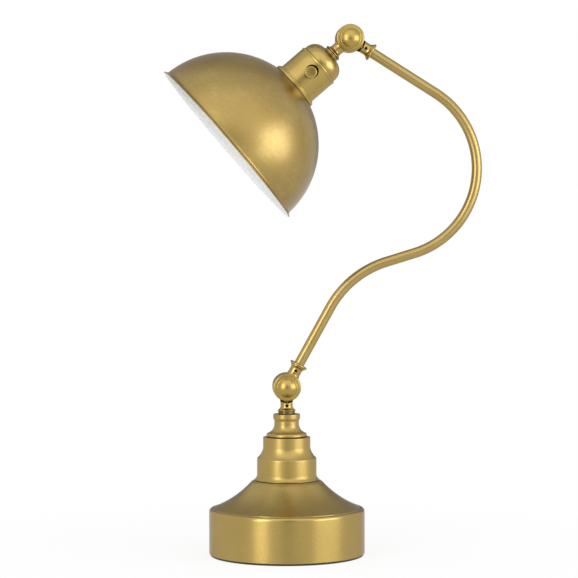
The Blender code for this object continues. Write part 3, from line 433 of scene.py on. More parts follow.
WHITE_ENAMEL = make_white_enamel()
BLACK_FELT = make_felt()
PHENOLIC = make_moulded("black_phenolic", HEAD_SEAT, (0.014, 0.012, 0.011),
                        (0.030, 0.026, 0.023), 0.30)
RUBBER = make_moulded("black_rubber", UPRIGHT, (0.012, 0.012, 0.012), (0.024, 0.024, 0.024), 0.60)
FIBRE = make_moulded("red_fibre", UPRIGHT, (0.20, 0.040, 0.022), (0.30, 0.075, 0.040), 0.70)
LEAD_JACKET = make_moulded("lead_jacket", UPRIGHT, (0.50, 0.47, 0.38), (0.62, 0.59, 0.50), 0.45)
ZINC_STEEL = make_plain_metal("zinc_steel", (0.60, 0.60, 0.62), (0.47, 0.48, 0.50), 0.26,
                              1200.0, 0.00001)
CAST_IRON = make_plain_metal("cast_iron", (0.060, 0.058, 0.060), (0.032, 0.031, 0.033), 0.60,
                             700.0, 0.00012, 0.6)


# ---- shaping helpers
SAME_SPOT = 1e-7  # corners closer than this are one corner


def clear_selection():
    if bpy.context.object and bpy.context.object.mode != "OBJECT":
        bpy.ops.object.mode_set(mode="OBJECT")
    bpy.ops.object.select_all(action="DESELECT")


def take(piece):
    """Makes this the one selected, active piece."""
    clear_selection()
    piece.select_set(True)
    bpy.context.view_layer.objects.active = piece


def apply_modifier(piece, kind, **settings):
    take(piece)
    step = piece.modifiers.new(kind.lower(), kind)
    for key, value in settings.items():
        setattr(step, key, value)
    bpy.ops.object.modifier_apply(modifier=step.name)


def settle(piece, seat):
    """Puts the piece at its seat, with its place in its mesh."""
    take(piece)
    piece.matrix_world = seat
    bpy.ops.object.transform_apply(location=True, rotation=True, scale=True)


def choose_corners(mesh, corners):
    """In edit mode: selects only the vertices that lie at these corners of the outline."""
    spots = [Vector((corner[0], 0, corner[1])) for corner in corners]
    bpy.ops.mesh.select_all(action="DESELECT")
    bpy.ops.object.mode_set(mode="OBJECT")
    for vertex in mesh.vertices:
        vertex.select = any((vertex.co - spot).length < SAME_SPOT for spot in spots)
    bpy.ops.object.mode_set(mode="EDIT")


def bow(start, end, rise, pieces):
    """Corners of an arc after start, up to end; rise lifts its middle off the chord."""
    start, end = Vector(start), Vector(end)
    chord = end - start
    side = Vector((chord.y, -chord.x)).normalized()
    radius = (chord.length_squared / 4 + rise * rise) / (2 * abs(rise))
    half_angle = math.asin(min(1.0, chord.length / (2 * radius)))
    sign = math.copysign(1.0, rise)
    centre = (start + end) / 2 + side * (rise - sign * radius)
    points = []
    for i in range(1, pieces + 1):
        turn = half_angle * (2 * i / pieces - 1)
        spot = (centre + chord.normalized() * math.sin(turn) * radius
                + side * sign * math.cos(turn) * radius)
        points.append((spot.x, spot.y))
    points[-1] = (end.x, end.y)
    return points


def close_mesh(threshold):
    """Merges doubles, points the faces outwards and leaves edit mode."""
    bpy.ops.mesh.select_all(action="SELECT")
    bpy.ops.mesh.remove_doubles(threshold=threshold)
    bpy.ops.mesh.normals_make_consistent(inside=False)
    bpy.ops.object.mode_set(mode="OBJECT")


def turn_on_lathe(name, outline, steps=96):
    """Spins a closed outline of (radius, height) or (radius, height, rounding) about Z.

    A rounding softens that corner.
    """
    corners = [(p[0], p[1], p[2] if len(p) > 2 else 0.0) for p in outline]
    radius, height, _ = corners[0]
    clear_selection()
    bpy.ops.mesh.primitive_plane_add(size=0.002, location=(radius, 0.0, height))
    piece = bpy.context.object
    piece.name = piece.data.name = name
    bpy.ops.object.transform_apply(location=True, rotation=False, scale=False)
    bpy.ops.object.mode_set(mode="EDIT")
    bpy.ops.mesh.select_mode(type="VERT")
    bpy.ops.mesh.select_all(action="SELECT")
    bpy.ops.mesh.merge(type="CENTER")
    for (r0, z0, _), (r1, z1, _) in zip(corners, corners[1:]):
        bpy.ops.mesh.extrude_vertices_move(
            TRANSFORM_OT_translate={"value": (r1 - r0, 0.0, z1 - z0)})
    choose_corners(piece.data, (corners[0], corners[-1]))
    bpy.ops.mesh.edge_face_add()
    for rounding in sorted({c[2] for c in corners if c[2] > 0}):
        choose_corners(piece.data, [c for c in corners if c[2] == rounding])
        bpy.ops.mesh.bevel(affect="VERTICES", offset=rounding, offset_type="OFFSET",
                           segments=5, profile=0.5)
    bpy.ops.mesh.select_all(action="SELECT")
    bpy.ops.mesh.spin(steps=steps, angle=2 * math.pi, center=(0, 0, 0), axis=(0, 0, 1))
    close_mesh(2e-6)
    return piece


def finish_surface(piece, finish, angle=32.0, weighted=True):
    """Smooth shading that keeps the flats flat and the corners crisp."""
    take(piece)
    piece.data.materials.clear()
    for material in finish if isinstance(finish, list) else [finish]:
        piece.data.materials.append(material)
    bpy.ops.object.shade_smooth_by_angle(angle=math.radians(angle))
    if weighted:
        apply_modifier(piece, "WEIGHTED_NORMAL", weight=50, keep_sharp=True)


def fit(piece, body, stands_for):
    """The piece moves with its body and hides the plain solid it stands for."""
    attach(piece, body)
    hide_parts(stands_for)


def turned_piece(name, outline, finish, seat, body, stands_for, steps=96,
                 angle=32.0):
    piece = turn_on_lathe(name, outline, steps)
    settle(piece, seat)
    finish_surface(piece, finish, angle)
    fit(piece, body, stands_for)


def carve(piece, tool, operation="DIFFERENCE"):
    """Cuts one closed piece with another, or joins them, and clears the tool away."""
    apply_modifier(piece, "BOOLEAN", operation=operation, solver="EXACT", object=tool)
    bpy.data.objects.remove(tool, do_unlink=True)


def rod_outline(radius, bottom, top, rounding=0.0):
    return [(0.0, top), (radius, top, rounding), (radius, bottom, rounding), (0.0, bottom)]


def drill(piece, radius, bottom, top, steps, seat=UPRIGHT):
    """Cuts a round hole along the seat's Z axis."""
    cutter = turn_on_lathe("cutter", rod_outline(radius, bottom, top), steps)
    settle(cutter, seat)
    carve(piece, cutter)


def ease_edges(piece, width, angle):
    apply_modifier(piece, "BEVEL", width=width, segments=2, limit_method="ANGLE",
                   angle_limit=math.radians(angle), use_clamp_overlap=True)


# ---- base
ROD_HOLE = 0.0051
pad_foot, pad_top = foot_and_top("felt_pad")
pad_radius = half_width("felt_pad")
turned_piece("felt_underlay", rod_outline(pad_radius, pad_foot, pad_top, 0.0004), BLACK_FELT,
             UPRIGHT, "base", "felt_pad", 128)

shell_foot, shell_top = foot_and_top("base_shell")
BASE_RADIUS = half_width("base_shell")
SHELL_WALL = 0.0012
DRUM_HEIGHT = 0.0427
RIM_RADIUS = 0.0034
rim_top = (BASE_RADIUS - RIM_RADIUS - 0.0001, DRUM_HEIGHT + RIM_RADIUS)
crease = (BASE_RADIUS - 0.0039, rim_top[1] - 0.0008)
cone_foot = (BASE_RADIUS - 0.0043, rim_top[1] + 0.0003)
cone_top = (0.0348, shell_top - 0.0014)
shell_line = [(ROD_HOLE, shell_top), (0.0312, shell_top), (0.0324, shell_top, 0.0004),
              cone_top]
shell_line += bow(cone_top, cone_foot, 0.0026, 14)
shell_line += [crease, rim_top]
shell_line += bow(rim_top, (BASE_RADIUS, DRUM_HEIGHT), -0.29 * RIM_RADIUS, 8)
shell_line += [(BASE_RADIUS, DRUM_HEIGHT - 0.0008), (BASE_RADIUS, 0.022),
               (BASE_RADIUS, shell_foot + 0.001), (BASE_RADIUS, shell_foot, 0.0004),
               (BASE_RADIUS - SHELL_WALL, shell_foot)]
inner = [(BASE_RADIUS - SHELL_WALL, DRUM_HEIGHT),
         (BASE_RADIUS - RIM_RADIUS - 0.0004, DRUM_HEIGHT + RIM_RADIUS - SHELL_WALL)]
inner += bow((cone_foot[0] - 0.0006, cone_foot[1] - SHELL_WALL),
             (cone_top[0] - 0.0010, cone_top[1] - SHELL_WALL), -0.0026, 8)
inner += [(0.0310, shell_top - SHELL_WALL), (ROD_HOLE, shell_top - SHELL_WALL)]
base_cover = turn_on_lathe("spun_base_cover", shell_line + inner, 160)

gland_low, gland_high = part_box("cord_gland")
GLAND_HEIGHT = (gland_low.z + gland_high.z) / 2
drill(base_cover, 0.0045, -0.006, 0.006, 48,
      Matrix.Translation((0, BASE_RADIUS, GLAND_HEIGHT)) @ TO_REAR)
finish_surface(base_cover, SATIN_BASE, 28)
fit(base_cover, "base", "base_shell")

# Rubber grommet in the back: a soft lip outside, a plain neck through the wall.
GROMMET_SEAT = Matrix.Translation((0, gland_high.y, GLAND_HEIGHT)) @ TO_REAR
turned_piece("cord_grommet", [
    (0.0026, 0.0, 0.0005), (0.0047, 0.0, 0.0006), (0.0056, -0.0007, 0.0003),
    (0.0056, -0.0016, 0.0002), (0.0042, -0.0016), (0.0042, -0.0066, 0.0004),
    (0.0026, -0.0066, 0.0003),
], RUBBER, GROMMET_SEAT, "base", "cord_gland", 48)

# ---- column
column_foot, column_top = foot_and_top("column")
COLUMN_FOOT_RADIUS = half_width("column")
UPPER_TIER = 0.0232  # radii of the two tiers
LOWER_TIER = 0.0292
column_line = [(ROD_HOLE, column_top), (0.0200, column_top), (UPPER_TIER, column_top, 0.0006),
               (UPPER_TIER, column_top - 0.0016), (UPPER_TIER, column_top - 0.0100),
               (UPPER_TIER, column_top - 0.0108, 0.0008)]
flare_foot = (LOWER_TIER - 0.0001, column_top - 0.0208)
column_line += bow((UPPER_TIER, column_top - 0.0108), flare_foot, 0.0010, 8)[:-1]
column_line += [(*flare_foot, 0.0005), (LOWER_TIER, column_top - 0.0226),
                (LOWER_TIER, column_foot + 0.0070), (LOWER_TIER, column_foot + 0.0056, 0.0006)]
column_line += bow((LOWER_TIER, column_foot + 0.0056),
                   (COLUMN_FOOT_RADIUS, column_foot + 0.0008), 0.0006, 5)
column_line += [(COLUMN_FOOT_RADIUS, column_foot, 0.0003), (0.0300, column_foot),
                (0.0280, column_foot + 0.0056), (0.0280, column_top - 0.0214),
                (0.0220, column_top - 0.0120), (0.0220, column_top - 0.0012),
                (ROD_HOLE, column_top - 0.0012)]
turned_piece("stepped_column", column_line, SATIN_COLUMN, UPRIGHT, "base", "column", steps=128)

# ---- collar
collar_foot, collar_top = foot_and_top("collar")
collar_line = [(ROD_HOLE, collar_top), (0.0110, collar_top), (0.0132, collar_top, 0.0005),
               (0.0132, collar_top - 0.0010), (0.0132, collar_top - 0.0040),
               (0.0131, collar_top - 0.0046, 0.0003)]
collar_line += bow((0.0124, collar_top - 0.0049), (0.0121, collar_top - 0.0090), 0.0002, 4)
collar_line += bow(collar_line[-1], (0.0184, collar_foot + 0.0036), 0.0020, 12)
collar_line += [(0.0188, collar_foot + 0.0035, 0.0002), (0.0198, collar_foot + 0.0022, 0.0008),
                (0.0198, collar_foot + 0.0004, 0.0005), (0.0190, collar_foot),
                (ROD_HOLE, collar_foot)]
turned_piece("turned_collar", collar_line, SATIN_COLUMN, UPRIGHT, "base", "collar", steps=112)


def locknut(name, seat, foot, top, finish, body, stands_for):
    """A thin round check nut with a turned groove."""
    middle = (foot + top) / 2
    turned_piece(name, [
        (ROD_HOLE, top), (0.0083, top, 0.0003), (0.0083, middle + 0.00022),
        (0.0080, middle), (0.0083, middle - 0.00022), (0.0083, foot, 0.0003), (ROD_HOLE, foot),
    ], finish, seat, body, stands_for, 72)


nut_foot, nut_top = foot_and_top("stem_locknut")
locknut("stem_check_nut", UPRIGHT, nut_foot, nut_top, SHADOW_STEM, "base", "stem_locknut")

# ---- knuckles
KNUCKLE_RADIUS = 0.0136
KNUCKLE_DEPTH = 0.0110
SADDLE_GAP = 0.0020
NECK_RADIUS = 0.0065
WAIST_RADIUS = 0.0060
SCREW_DISTANCE = 0.0183
SCREW_RADIUS = 0.0012
SCREW_HOLE = 0.0014
KEY_RADIUS = 0.0007  # corners of the set screw's hexagon socket
SEAT_FLOOR = KNUCKLE_RADIUS + SADDLE_GAP + 0.0011


def neck_line(length, bead):
    """Profile of a neck, from inside the ball down to its flange."""
    flange = 0.0024 if bead else 0.0016
    throat, foot = -0.0128, -length + flange
    line = [(0.0, -KNUCKLE_RADIUS / 2), (NECK_RADIUS, -KNUCKLE_RADIUS / 2), (NECK_RADIUS, throat)]
    line += bow(line[-1], (WAIST_RADIUS, (throat + foot) / 2), 0.00025, 5)
    if bead:
        # A fine fillet, then the round bead that grips the tube.
        line += bow(line[-1], (0.0073, foot + 0.0009), 0.0006, 6)
        line += [(0.0077, foot + 0.0005, 0.0001), (0.0077, foot)]
        line += bow(line[-1], (0.0077, -length), -0.00115, 10)
        line += [(0.0, -length)]
    else:
        line += bow(line[-1], (0.0080, foot + 0.0002), 0.0008, 7)
        line += [(0.0083, foot, 0.0001)]
        line += bow((0.0083, foot), (0.0084, -length + 0.0003), -0.0005, 6)
        line += [(0.0078, -length, 0.0001), (0.0, -length)]
    return line


def knuckle_half(name, seat, facing, length, socket_radius, finish, body, stands_for,
                 bead=False, screwed=True):
    """Half of a friction knuckle: a cupped disc with its neck, tapped for a set screw."""
    rim = KNUCKLE_RADIUS - 0.0024
    disc = turn_on_lathe(name + "_disc", [
        (0.0023, KNUCKLE_DEPTH), (KNUCKLE_RADIUS, KNUCKLE_DEPTH, 0.0012),
        (KNUCKLE_RADIUS, KNUCKLE_DEPTH - 0.0016), (KNUCKLE_RADIUS, 0.0014),
        (KNUCKLE_RADIUS, GAP / 2, 0.0006), (rim, GAP / 2), (rim, KNUCKLE_DEPTH - 0.0030),
        (0.0046, KNUCKLE_DEPTH - 0.0030), (0.0046, 0.0007), (0.0023, 0.0007)], 96)
    settle(disc, facing)
    half = turn_on_lathe(name, neck_line(length, bead), 72)
    drill(half, KNUCKLE_RADIUS + SADDLE_GAP, -GAP / 2, 0.013, 96, facing.inverted())
    drill(half, KNUCKLE_RADIUS - 0.0012, -0.013, 0.013, 64, facing)
    carve(half, disc, "UNION")
    drill(half, 0.0026, -length, -0.0049, 32)
    drill(half, socket_radius + GAP, -length - 0.001, -SEAT_FLOOR, 64)
    if screwed:
        drill(half, SCREW_HOLE, 0.0, 0.0075, 32,
              Matrix.Translation((0, 0, -SCREW_DISTANCE)) @ TO_FRONT)
    ease_edges(half, 0.00022, 50)
    finish_surface(half, [finish, BLACKENED_AND_SHADE_STEM], 34)
    # The faces that meet the other half, the saddle and the tapping take the near-black finish:
    # painted shade in the gap and the hole.
    inward = (facing.to_3x3() @ Vector((0, 0, -1))).normalized()
    for face in half.data.polygons:
        from_hinge = math.hypot(face.center.x, face.center.z)
        level = face.center.dot(inward)
        meets = face.normal.dot(inward) > 0.8 and abs(level + GAP / 2) < 0.0004
        saddled = abs(from_hinge - KNUCKLE_RADIUS - SADDLE_GAP) < 0.0002 and level > -GAP
        from_screw = math.hypot(face.center.x, face.center.z + SCREW_DISTANCE)
        tapped = screwed and face.center.y < 0 and abs(from_screw - SCREW_HOLE) < 0.00008
        if meets or saddled or tapped:
            face.material_index = 1
    settle(half, seat)
    fit(half, body, stands_for)


knuckle_half("stem_knuckle", STEM_SEAT, TO_REAR, 0.0241, 0.0048, POLISHED_STEM, "base",
             "lower_knuckle_rear")
knuckle_half("lower_arm_knuckle", LOWER_SEAT, TO_FRONT, 0.0256, 0.0050, POLISHED_LOWER, "arm",
             "lower_knuckle_front", bead=True)
knuckle_half("upper_arm_knuckle", UPPER_SEAT, TO_REAR, 0.0261, 0.0050, POLISHED_UPPER, "arm",
             "upper_knuckle_rear", bead=True)
knuckle_half("head_knuckle", HEAD_SEAT, TO_FRONT, 0.0224, 0.0048, POLISHED_HEAD, "head",
             "upper_knuckle_front", screwed=False)


CAP_RADIUS = 0.0124
DOME_RADIUS = 0.0094


def domed_cap(end, seat, body):
    """Pressed cap over the hinge bolt: flat ring, fine groove, shallow dome."""
    knuckle, side = end.split("_")
    finish = pressed(f"satin_brass_{knuckle}_cap_{side}", seat)
    foot = KNUCKLE_DEPTH + GAP
    brow = foot + 0.0027
    line = [(0.0, brow + 0.0048)]
    line += bow(line[-1], (DOME_RADIUS, brow + 0.0004), -0.00115, 16)
    line += bow(line[-1], (0.0104, brow), 0.00012, 4)
    line += [(CAP_RADIUS, brow - 0.0002, 0.0006), (CAP_RADIUS, foot + 0.0009),
             (CAP_RADIUS, foot, 0.0003), (0.0084, foot), (0.0084, brow),
             (0.0042, brow + 0.0027), (0.0, brow + 0.0034)]
    turned_piece(end + "_cap", line, finish, seat, body, f"{knuckle}_cap_{side}", steps=112,
                 angle=26)


domed_cap("lower_front", LOWER_SEAT @ TO_FRONT, "arm")
domed_cap("lower_rear", STEM_SEAT @ TO_REAR, "base")
domed_cap("upper_front", HEAD_SEAT @ TO_FRONT, "head")
domed_cap("upper_rear", UPPER_SEAT @ TO_REAR, "arm")


def grub_screw(name, seat, inner_end, body, stands_for):
    """Set screw with a hexagon socket in its outer end."""
    outer_end = WAIST_RADIUS - 0.0001
    screw = turn_on_lathe(name, [(0.0, outer_end), (SCREW_RADIUS, outer_end, 0.0002),
                                 (SCREW_RADIUS, inner_end + 0.0003), (0.0010, inner_end),
                                 (0.0, inner_end)], 32)
    clear_selection()
    bpy.ops.mesh.primitive_cylinder_add(vertices=6, radius=KEY_RADIUS, depth=0.0006,
                                        location=(0, 0, outer_end))
    carve(screw, bpy.context.object)
    settle(screw, seat @ Matrix.Translation((0, 0, -SCREW_DISTANCE)) @ TO_FRONT)
    finish_surface(screw, BLACKENED_AND_SHADE_STEM)
    fit(screw, body, stands_for)


grub_screw("stem_grub_screw", STEM_SEAT, 0.0051, "base", "stem_set_screw")
grub_screw("lower_grub_screw", LOWER_SEAT, 0.0053, "arm", "lower_ferrule_set_screw")
grub_screw("upper_grub_screw", UPPER_SEAT, 0.0053, "arm", "upper_ferrule_set_screw")


# ---- arm
FIRST_STRAIGHT = 0.0887  # from the lower hinge
LOWER_BEND_RADIUS = 0.0945
MIDDLE_STRAIGHT = 0.0293
UPPER_BEND_RADIUS = 0.0867
LAST_STRAIGHT = 0.1001  # up to the upper hinge


def bend_arm(name, radius, wall, inset, finish):
    """Bends a tube from foot to head: straight, bend, straight, bend, straight.

    It starts and stops at the inset from the hinges, just clear of the sockets' floors.
    """
    clear_selection()
    heading = math.pi / 2 - ARM_LEAN
    ahead = Vector((math.cos(heading), 0, math.sin(heading)))
    here = LOWER_AXIS + ahead * inset
    bpy.ops.mesh.primitive_circle_add(vertices=48, radius=radius, fill_type="NOTHING",
                                      location=here, rotation=(0, math.pi / 2 - heading, 0))
    tube = bpy.context.object
    tube.name = tube.data.name = name
    bpy.ops.object.transform_apply(location=True, rotation=True, scale=True)
    bpy.ops.object.mode_set(mode="EDIT")
    bpy.ops.mesh.select_mode(type="EDGE")
    bpy.ops.mesh.select_all(action="SELECT")
    legs = [(FIRST_STRAIGHT - inset, 0.0), (LOWER_BEND_RADIUS, -LOWER_BEND),
            (MIDDLE_STRAIGHT, 0.0), (UPPER_BEND_RADIUS, UPPER_BEND),
            (LAST_STRAIGHT - inset, 0.0)]
    for size, turn in legs:
        ahead = Vector((math.cos(heading), 0, math.sin(heading)))
        if turn:
            # The bend's centre lies to one side of the tube, at the bend's radius.
            side = Vector((-ahead.z, 0, ahead.x)) * math.copysign(1.0, turn)
            centre = here + side * size
            bpy.ops.mesh.spin(steps=max(16, round(abs(turn) * 28)), angle=abs(turn),
                              center=centre, axis=(0, math.copysign(1.0, turn), 0))
            here = centre + Matrix.Rotation(-turn, 3, "Y") @ (here - centre)
            heading += turn
        else:
            cuts = max(1, round(size / 0.012))
            for _ in range(cuts):
                bpy.ops.mesh.extrude_region_move(
                    TRANSFORM_OT_translate={"value": ahead * (size / cuts)})
            here = here + ahead * size
    close_mesh(0.00001)
    apply_modifier(tube, "SOLIDIFY", thickness=wall, offset=-1.0)
    finish_surface(tube, finish, 50, weighted=False)
    return tube


arm = bend_arm("bent_arm_tube", 0.0050, 0.0010, SEAT_FLOOR + GAP, SATIN_ARM)
fit(arm, "arm", "arm_tube")


# ---- head
def up(distance):
    """Height in the head's frame of what lies this far along its axis from the rim."""
    return distance - RIM_TO_PIVOT


def dome_height(radius, ball=SHADE_RADIUS):
    return math.sqrt(ball * ball - radius * radius)


SHADE_WALL = 0.0011
CROWN_HOLE = 0.0190
LIP_REACH = SHADE_RADIUS + 0.0022  # the rolled lip's outermost radius
ENAMEL_REACH = SHADE_RADIUS + 0.0017  # the enamel ends on the lip's underside
crown = math.acos(CROWN_HOLE / SHADE_RADIUS)
lip = math.asin(0.0040 / SHADE_RADIUS)
ball = SHADE_RADIUS - SHADE_WALL


def dome_line(ball_radius, steps=40):
    """The sheet's line from the crown hole down to where the lip starts."""
    angles = [crown + (lip - crown) * i / steps for i in range(steps + 1)]
    return [(ball_radius * math.cos(a), up(ball_radius * math.sin(a))) for a in angles]


outside, inside = dome_line(SHADE_RADIUS), dome_line(ball)[::-1]
# Rolled lip: the sheet flares out and curls over a fine bead.
flare = bow(outside[-1], (LIP_REACH, up(0.0012)), 0.0005, 4)
curl = bow(flare[-1], (SHADE_RADIUS + 0.0020, up(0.0)), -0.0009, 6)
back = [(SHADE_RADIUS + 0.0006, up(0.0003))]
back += bow(back[-1], (ball + 0.0001, up(0.0030)), -0.0003, 3)
shade = turn_on_lathe("spun_shade", outside + flare + curl + back + inside, 192)
finish_surface(shade, [SPUN_SHADE, WHITE_ENAMEL], 40)
for face in shade.data.polygons:
    spot = face.center
    level = spot.z + RIM_TO_PIVOT
    reach = math.hypot(spot.x, spot.y)
    inward = face.normal.x * spot.x + face.normal.y * spot.y + face.normal.z * max(0.0, level)
    if inward < 0 and reach < ENAMEL_REACH:
        face.material_index = 1
settle(shade, HEAD_SEAT)
fit(shade, "head", "shade")

HOUSING_RADIUS = 0.0224
HOUSING_WALL = 0.0010
KNOB_HOLE_RADIUS = 0.0065
PLATE_RADIUS = 0.0252
STEP_RADIUS = 0.0238
PLATE_HOLE = 0.0188
plate_foot = dome_height(PLATE_RADIUS) + GAP
plate_top = plate_foot + 0.0025
step_top = plate_top + 0.0015
turned_piece("shade_collar_plate", [
    (PLATE_HOLE, up(step_top)), (0.0230, up(step_top)), (STEP_RADIUS, up(step_top), 0.0005),
    (STEP_RADIUS, up(plate_top + 0.0002), 0.0002), (0.0241, up(plate_top)),
    (PLATE_RADIUS, up(plate_top), 0.0006), (PLATE_RADIUS, up(plate_foot + 0.0003)),
    (PLATE_RADIUS, up(plate_foot), 0.0002),
    (PLATE_HOLE, up(dome_height(PLATE_HOLE) + GAP + 0.0001)),
], SATIN_HEAD, HEAD_SEAT, "head", "shade_collar", steps=112)

SEAM = 0.06 * MM  # pressed metal seated on its neighbour
housing_foot = step_top + GAP
housing_top = housing_foot + 0.0250
cup_foot, cup_rim = up(step_top + SEAM), up(housing_top + GAP - SEAM)
housing = turn_on_lathe("socket_cup", [
    (HOUSING_RADIUS - HOUSING_WALL, cup_rim), (HOUSING_RADIUS, cup_rim, 0.0002),
    (HOUSING_RADIUS, cup_rim - 0.0008), (HOUSING_RADIUS, cup_foot + 0.0125),
    (HOUSING_RADIUS, cup_foot + 0.0008), (HOUSING_RADIUS, cup_foot, 0.0002),
    (HOUSING_RADIUS - HOUSING_WALL, cup_foot)], 144)
to_head = HEAD_SEAT.inverted()
knob_low, knob_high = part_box("switch_knob")
KNOB_HEIGHT = (to_head @ ((knob_low + knob_high) / 2)).z
KNOB_HOLE_HEIGHT = KNOB_HEIGHT + 0.0018
drill(housing, KNOB_HOLE_RADIUS, 0.011, 0.034, 64,
      Matrix.Translation((0, 0, KNOB_HOLE_HEIGHT)) @ TO_FRONT)
ease_edges(housing, 0.00016, 60)
settle(housing, HEAD_SEAT)
finish_surface(housing, [SATIN_HEAD, PAINTED_SHADE_HEAD], 30)
# Painted shade: the inside of the cup and the wall round the knob hole take the near-black
# finish.
for face in housing.data.polygons:
    spot = to_head @ face.center
    from_hole = math.hypot(spot.x, spot.z - KNOB_HOLE_HEIGHT)
    round_the_hole = abs(from_hole - KNOB_HOLE_RADIUS) < 0.0001
    if spot.xy.length < HOUSING_RADIUS - 0.0009 or (round_the_hole and spot.y < 0):
        face.material_index = 1
fit(housing, "head", "socket_housing")

bead_foot = housing_top + GAP
bead_top = bead_foot + 0.0034
cup_top = bead_top + 0.0144
cap_line = [(ROD_HOLE, up(cup_top)), (0.0095, up(cup_top))]
cap_line += bow(cap_line[-1], (0.0212, up(bead_top)), -0.0040, 16)
cap_line += [(0.0213, up(bead_top - 0.0002), 0.0001)]
cap_line += bow((0.0219, up(bead_top - 0.0004)), (0.0226, up(bead_foot + 0.0012)), -0.0005, 6)
cap_line += [(0.0224, up(bead_foot + 0.0009), 0.0001), (0.0224, up(bead_foot), 0.0002),
             (0.0212, up(bead_foot)), (0.0200, up(bead_top))]
cap_line += bow(cap_line[-1], (0.0092, up(cup_top - 0.0012)), 0.0038, 10)
cap_line += [(ROD_HOLE, up(cup_top - 0.0012))]
turned_piece("socket_cup_cap", cap_line, SATIN_HEAD, HEAD_SEAT, "head", "socket_cap", steps=128)

locknut("head_check_nut", HEAD_SEAT, up(cup_top + SEAM), up(cup_top + GAP + 0.0019), SATIN_HEAD,
        "head", "head_locknut")

# Lampholder below the crown: moulded cup, pressed screw shell and centre contact.
HOLDER_RADIUS = 0.0185
HOLDER_BORE = 0.0142
MOUTH_RADIUS = 0.0179
holder_top = housing_foot + 0.0088
holder_floor = holder_top - 0.0060
holder_mouth = holder_top - 0.0378
turned_piece("lampholder_moulding", [
    (0.0, up(holder_top)), (HOLDER_RADIUS, up(holder_top), 0.0008),
    (HOLDER_RADIUS, up(holder_mouth + 0.010)), (HOLDER_RADIUS, up(holder_mouth + 0.0075), 0.0003),
    (MOUTH_RADIUS, up(holder_mouth + 0.0072)), (MOUTH_RADIUS, up(holder_mouth), 0.0012),
    (HOLDER_BORE, up(holder_mouth), 0.0008), (HOLDER_BORE, up(holder_floor)),
    (0.0, up(holder_floor)),
], PHENOLIC, HEAD_SEAT, "head", "lampholder", 96)

SHELL_SHEET = 0.0005  # thickness of the pressed shell
THREAD_DEPTH = 0.0010
THREAD_TURNS = 6
# One turn of the thread: share of the pitch, share of the depth.
THREAD_FORM = ((0.1, 0.0), (0.3, 0.0), (0.5, 0.5), (0.65, 0.95), (0.8, 0.95), (0.95, 0.5))
shell_radius = HOLDER_BORE - GAP
thread_top = holder_floor - GAP
thread_foot = thread_top - 0.0240
thread = [(shell_radius - 0.0007, up(thread_top))]
pitch = (thread_top - thread_foot) / THREAD_TURNS
for turn in range(THREAD_TURNS):
    start = thread_top - pitch * turn
    for share, depth in THREAD_FORM:
        thread.append((shell_radius - THREAD_DEPTH * depth, up(start - pitch * share)))
thread.append((shell_radius, up(thread_foot)))
inner_wall = [(radius - SHELL_SHEET, height) for radius, height in reversed(thread)]
turned_piece("pressed_screw_shell", thread + inner_wall, CONTACT_BRASS, HEAD_SEAT, "head",
             "screw_shell", 96, angle=50)
turned_piece("centre_contact_spring", [
    (0.0, up(thread_top - 0.0012)), (0.0022, up(thread_top - 0.0012), 0.0003),
    (0.0045, up(thread_top - 0.0004), 0.0002), (0.0045, up(thread_top)), (0.0, up(thread_top)),
][::-1], CONTACT_BRASS, HEAD_SEAT, "head", "centre_contact", 48)

ring_radius = PLATE_HOLE + 0.0072
ring_top = dome_height(ring_radius, ball) - GAP
ring_foot = ring_top - 0.0042
ring = turn_on_lathe("threaded_shade_ring", [
    (PLATE_HOLE, up(ring_top)), (ring_radius, up(ring_top), 0.0005),
    (ring_radius, up(ring_foot), 0.0005), (PLATE_HOLE, up(ring_foot))], 120)
GRIPS = 12  # finger grips round the ring's edge
for count in range(GRIPS):
    clear_selection()
    turn = 2 * math.pi * count / GRIPS
    reach = ring_radius + 0.0008
    bpy.ops.mesh.primitive_cylinder_add(
        vertices=20, radius=0.0016, depth=0.02,
        location=(math.cos(turn) * reach, math.sin(turn) * reach, up(ring_top - 0.0021)))
    carve(ring, bpy.context.object)
settle(ring, HEAD_SEAT)
finish_surface(ring, PHENOLIC)
fit(ring, "head", "retaining_ring")

# ---- knob
KNOB_SEAT = HEAD_SEAT @ Matrix.Translation((0, 0, KNOB_HEIGHT)) @ TO_FRONT
KNOB_RADIUS = 0.00585
knob_back = HOUSING_RADIUS + 0.0010
knob_face = knob_back + 0.0042
turned_piece("switch_button", [
    (0.0, knob_face - 0.0002), (0.0046, knob_face - 0.0002), (0.0050, knob_face, 0.0001),
    (KNOB_RADIUS, knob_face, 0.0006), (KNOB_RADIUS, knob_back + 0.0008),
    (KNOB_RADIUS, knob_back, 0.0003),
    (0.0024, knob_back), (0.0024, knob_face - 0.0012), (0.0, knob_face - 0.0012),
], SATIN_KNOB, KNOB_SEAT, "knob", "switch_knob", steps=64)

# ---- finishes of the solids that stay
carried = {
    CAST_IRON: ["base_weight"],
    ZINC_STEEL: ["weight_washer", "weight_nut", "threaded_rod", "lower_pivot_bolt",
                 "lower_pivot_nut", "lower_spring_washer", "upper_pivot_bolt",
                 "upper_pivot_nut", "upper_spring_washer", "head_nipple", "head_nut",
                 "knob_shaft"],
    FIBRE: ["lower_friction_washer", "upper_friction_washer"],
    LEAD_JACKET: ["base_lead", "arm_lead", "head_lead"],
    PHENOLIC: ["switch_body"],
    CONTACT_BRASS: ["left_terminal_screw", "right_terminal_screw"],
}
for finish, names in carried.items():
    for name in names:
        solid = frame["nodes"][name]
        for place in solid.material_slots:
            place.material = finish

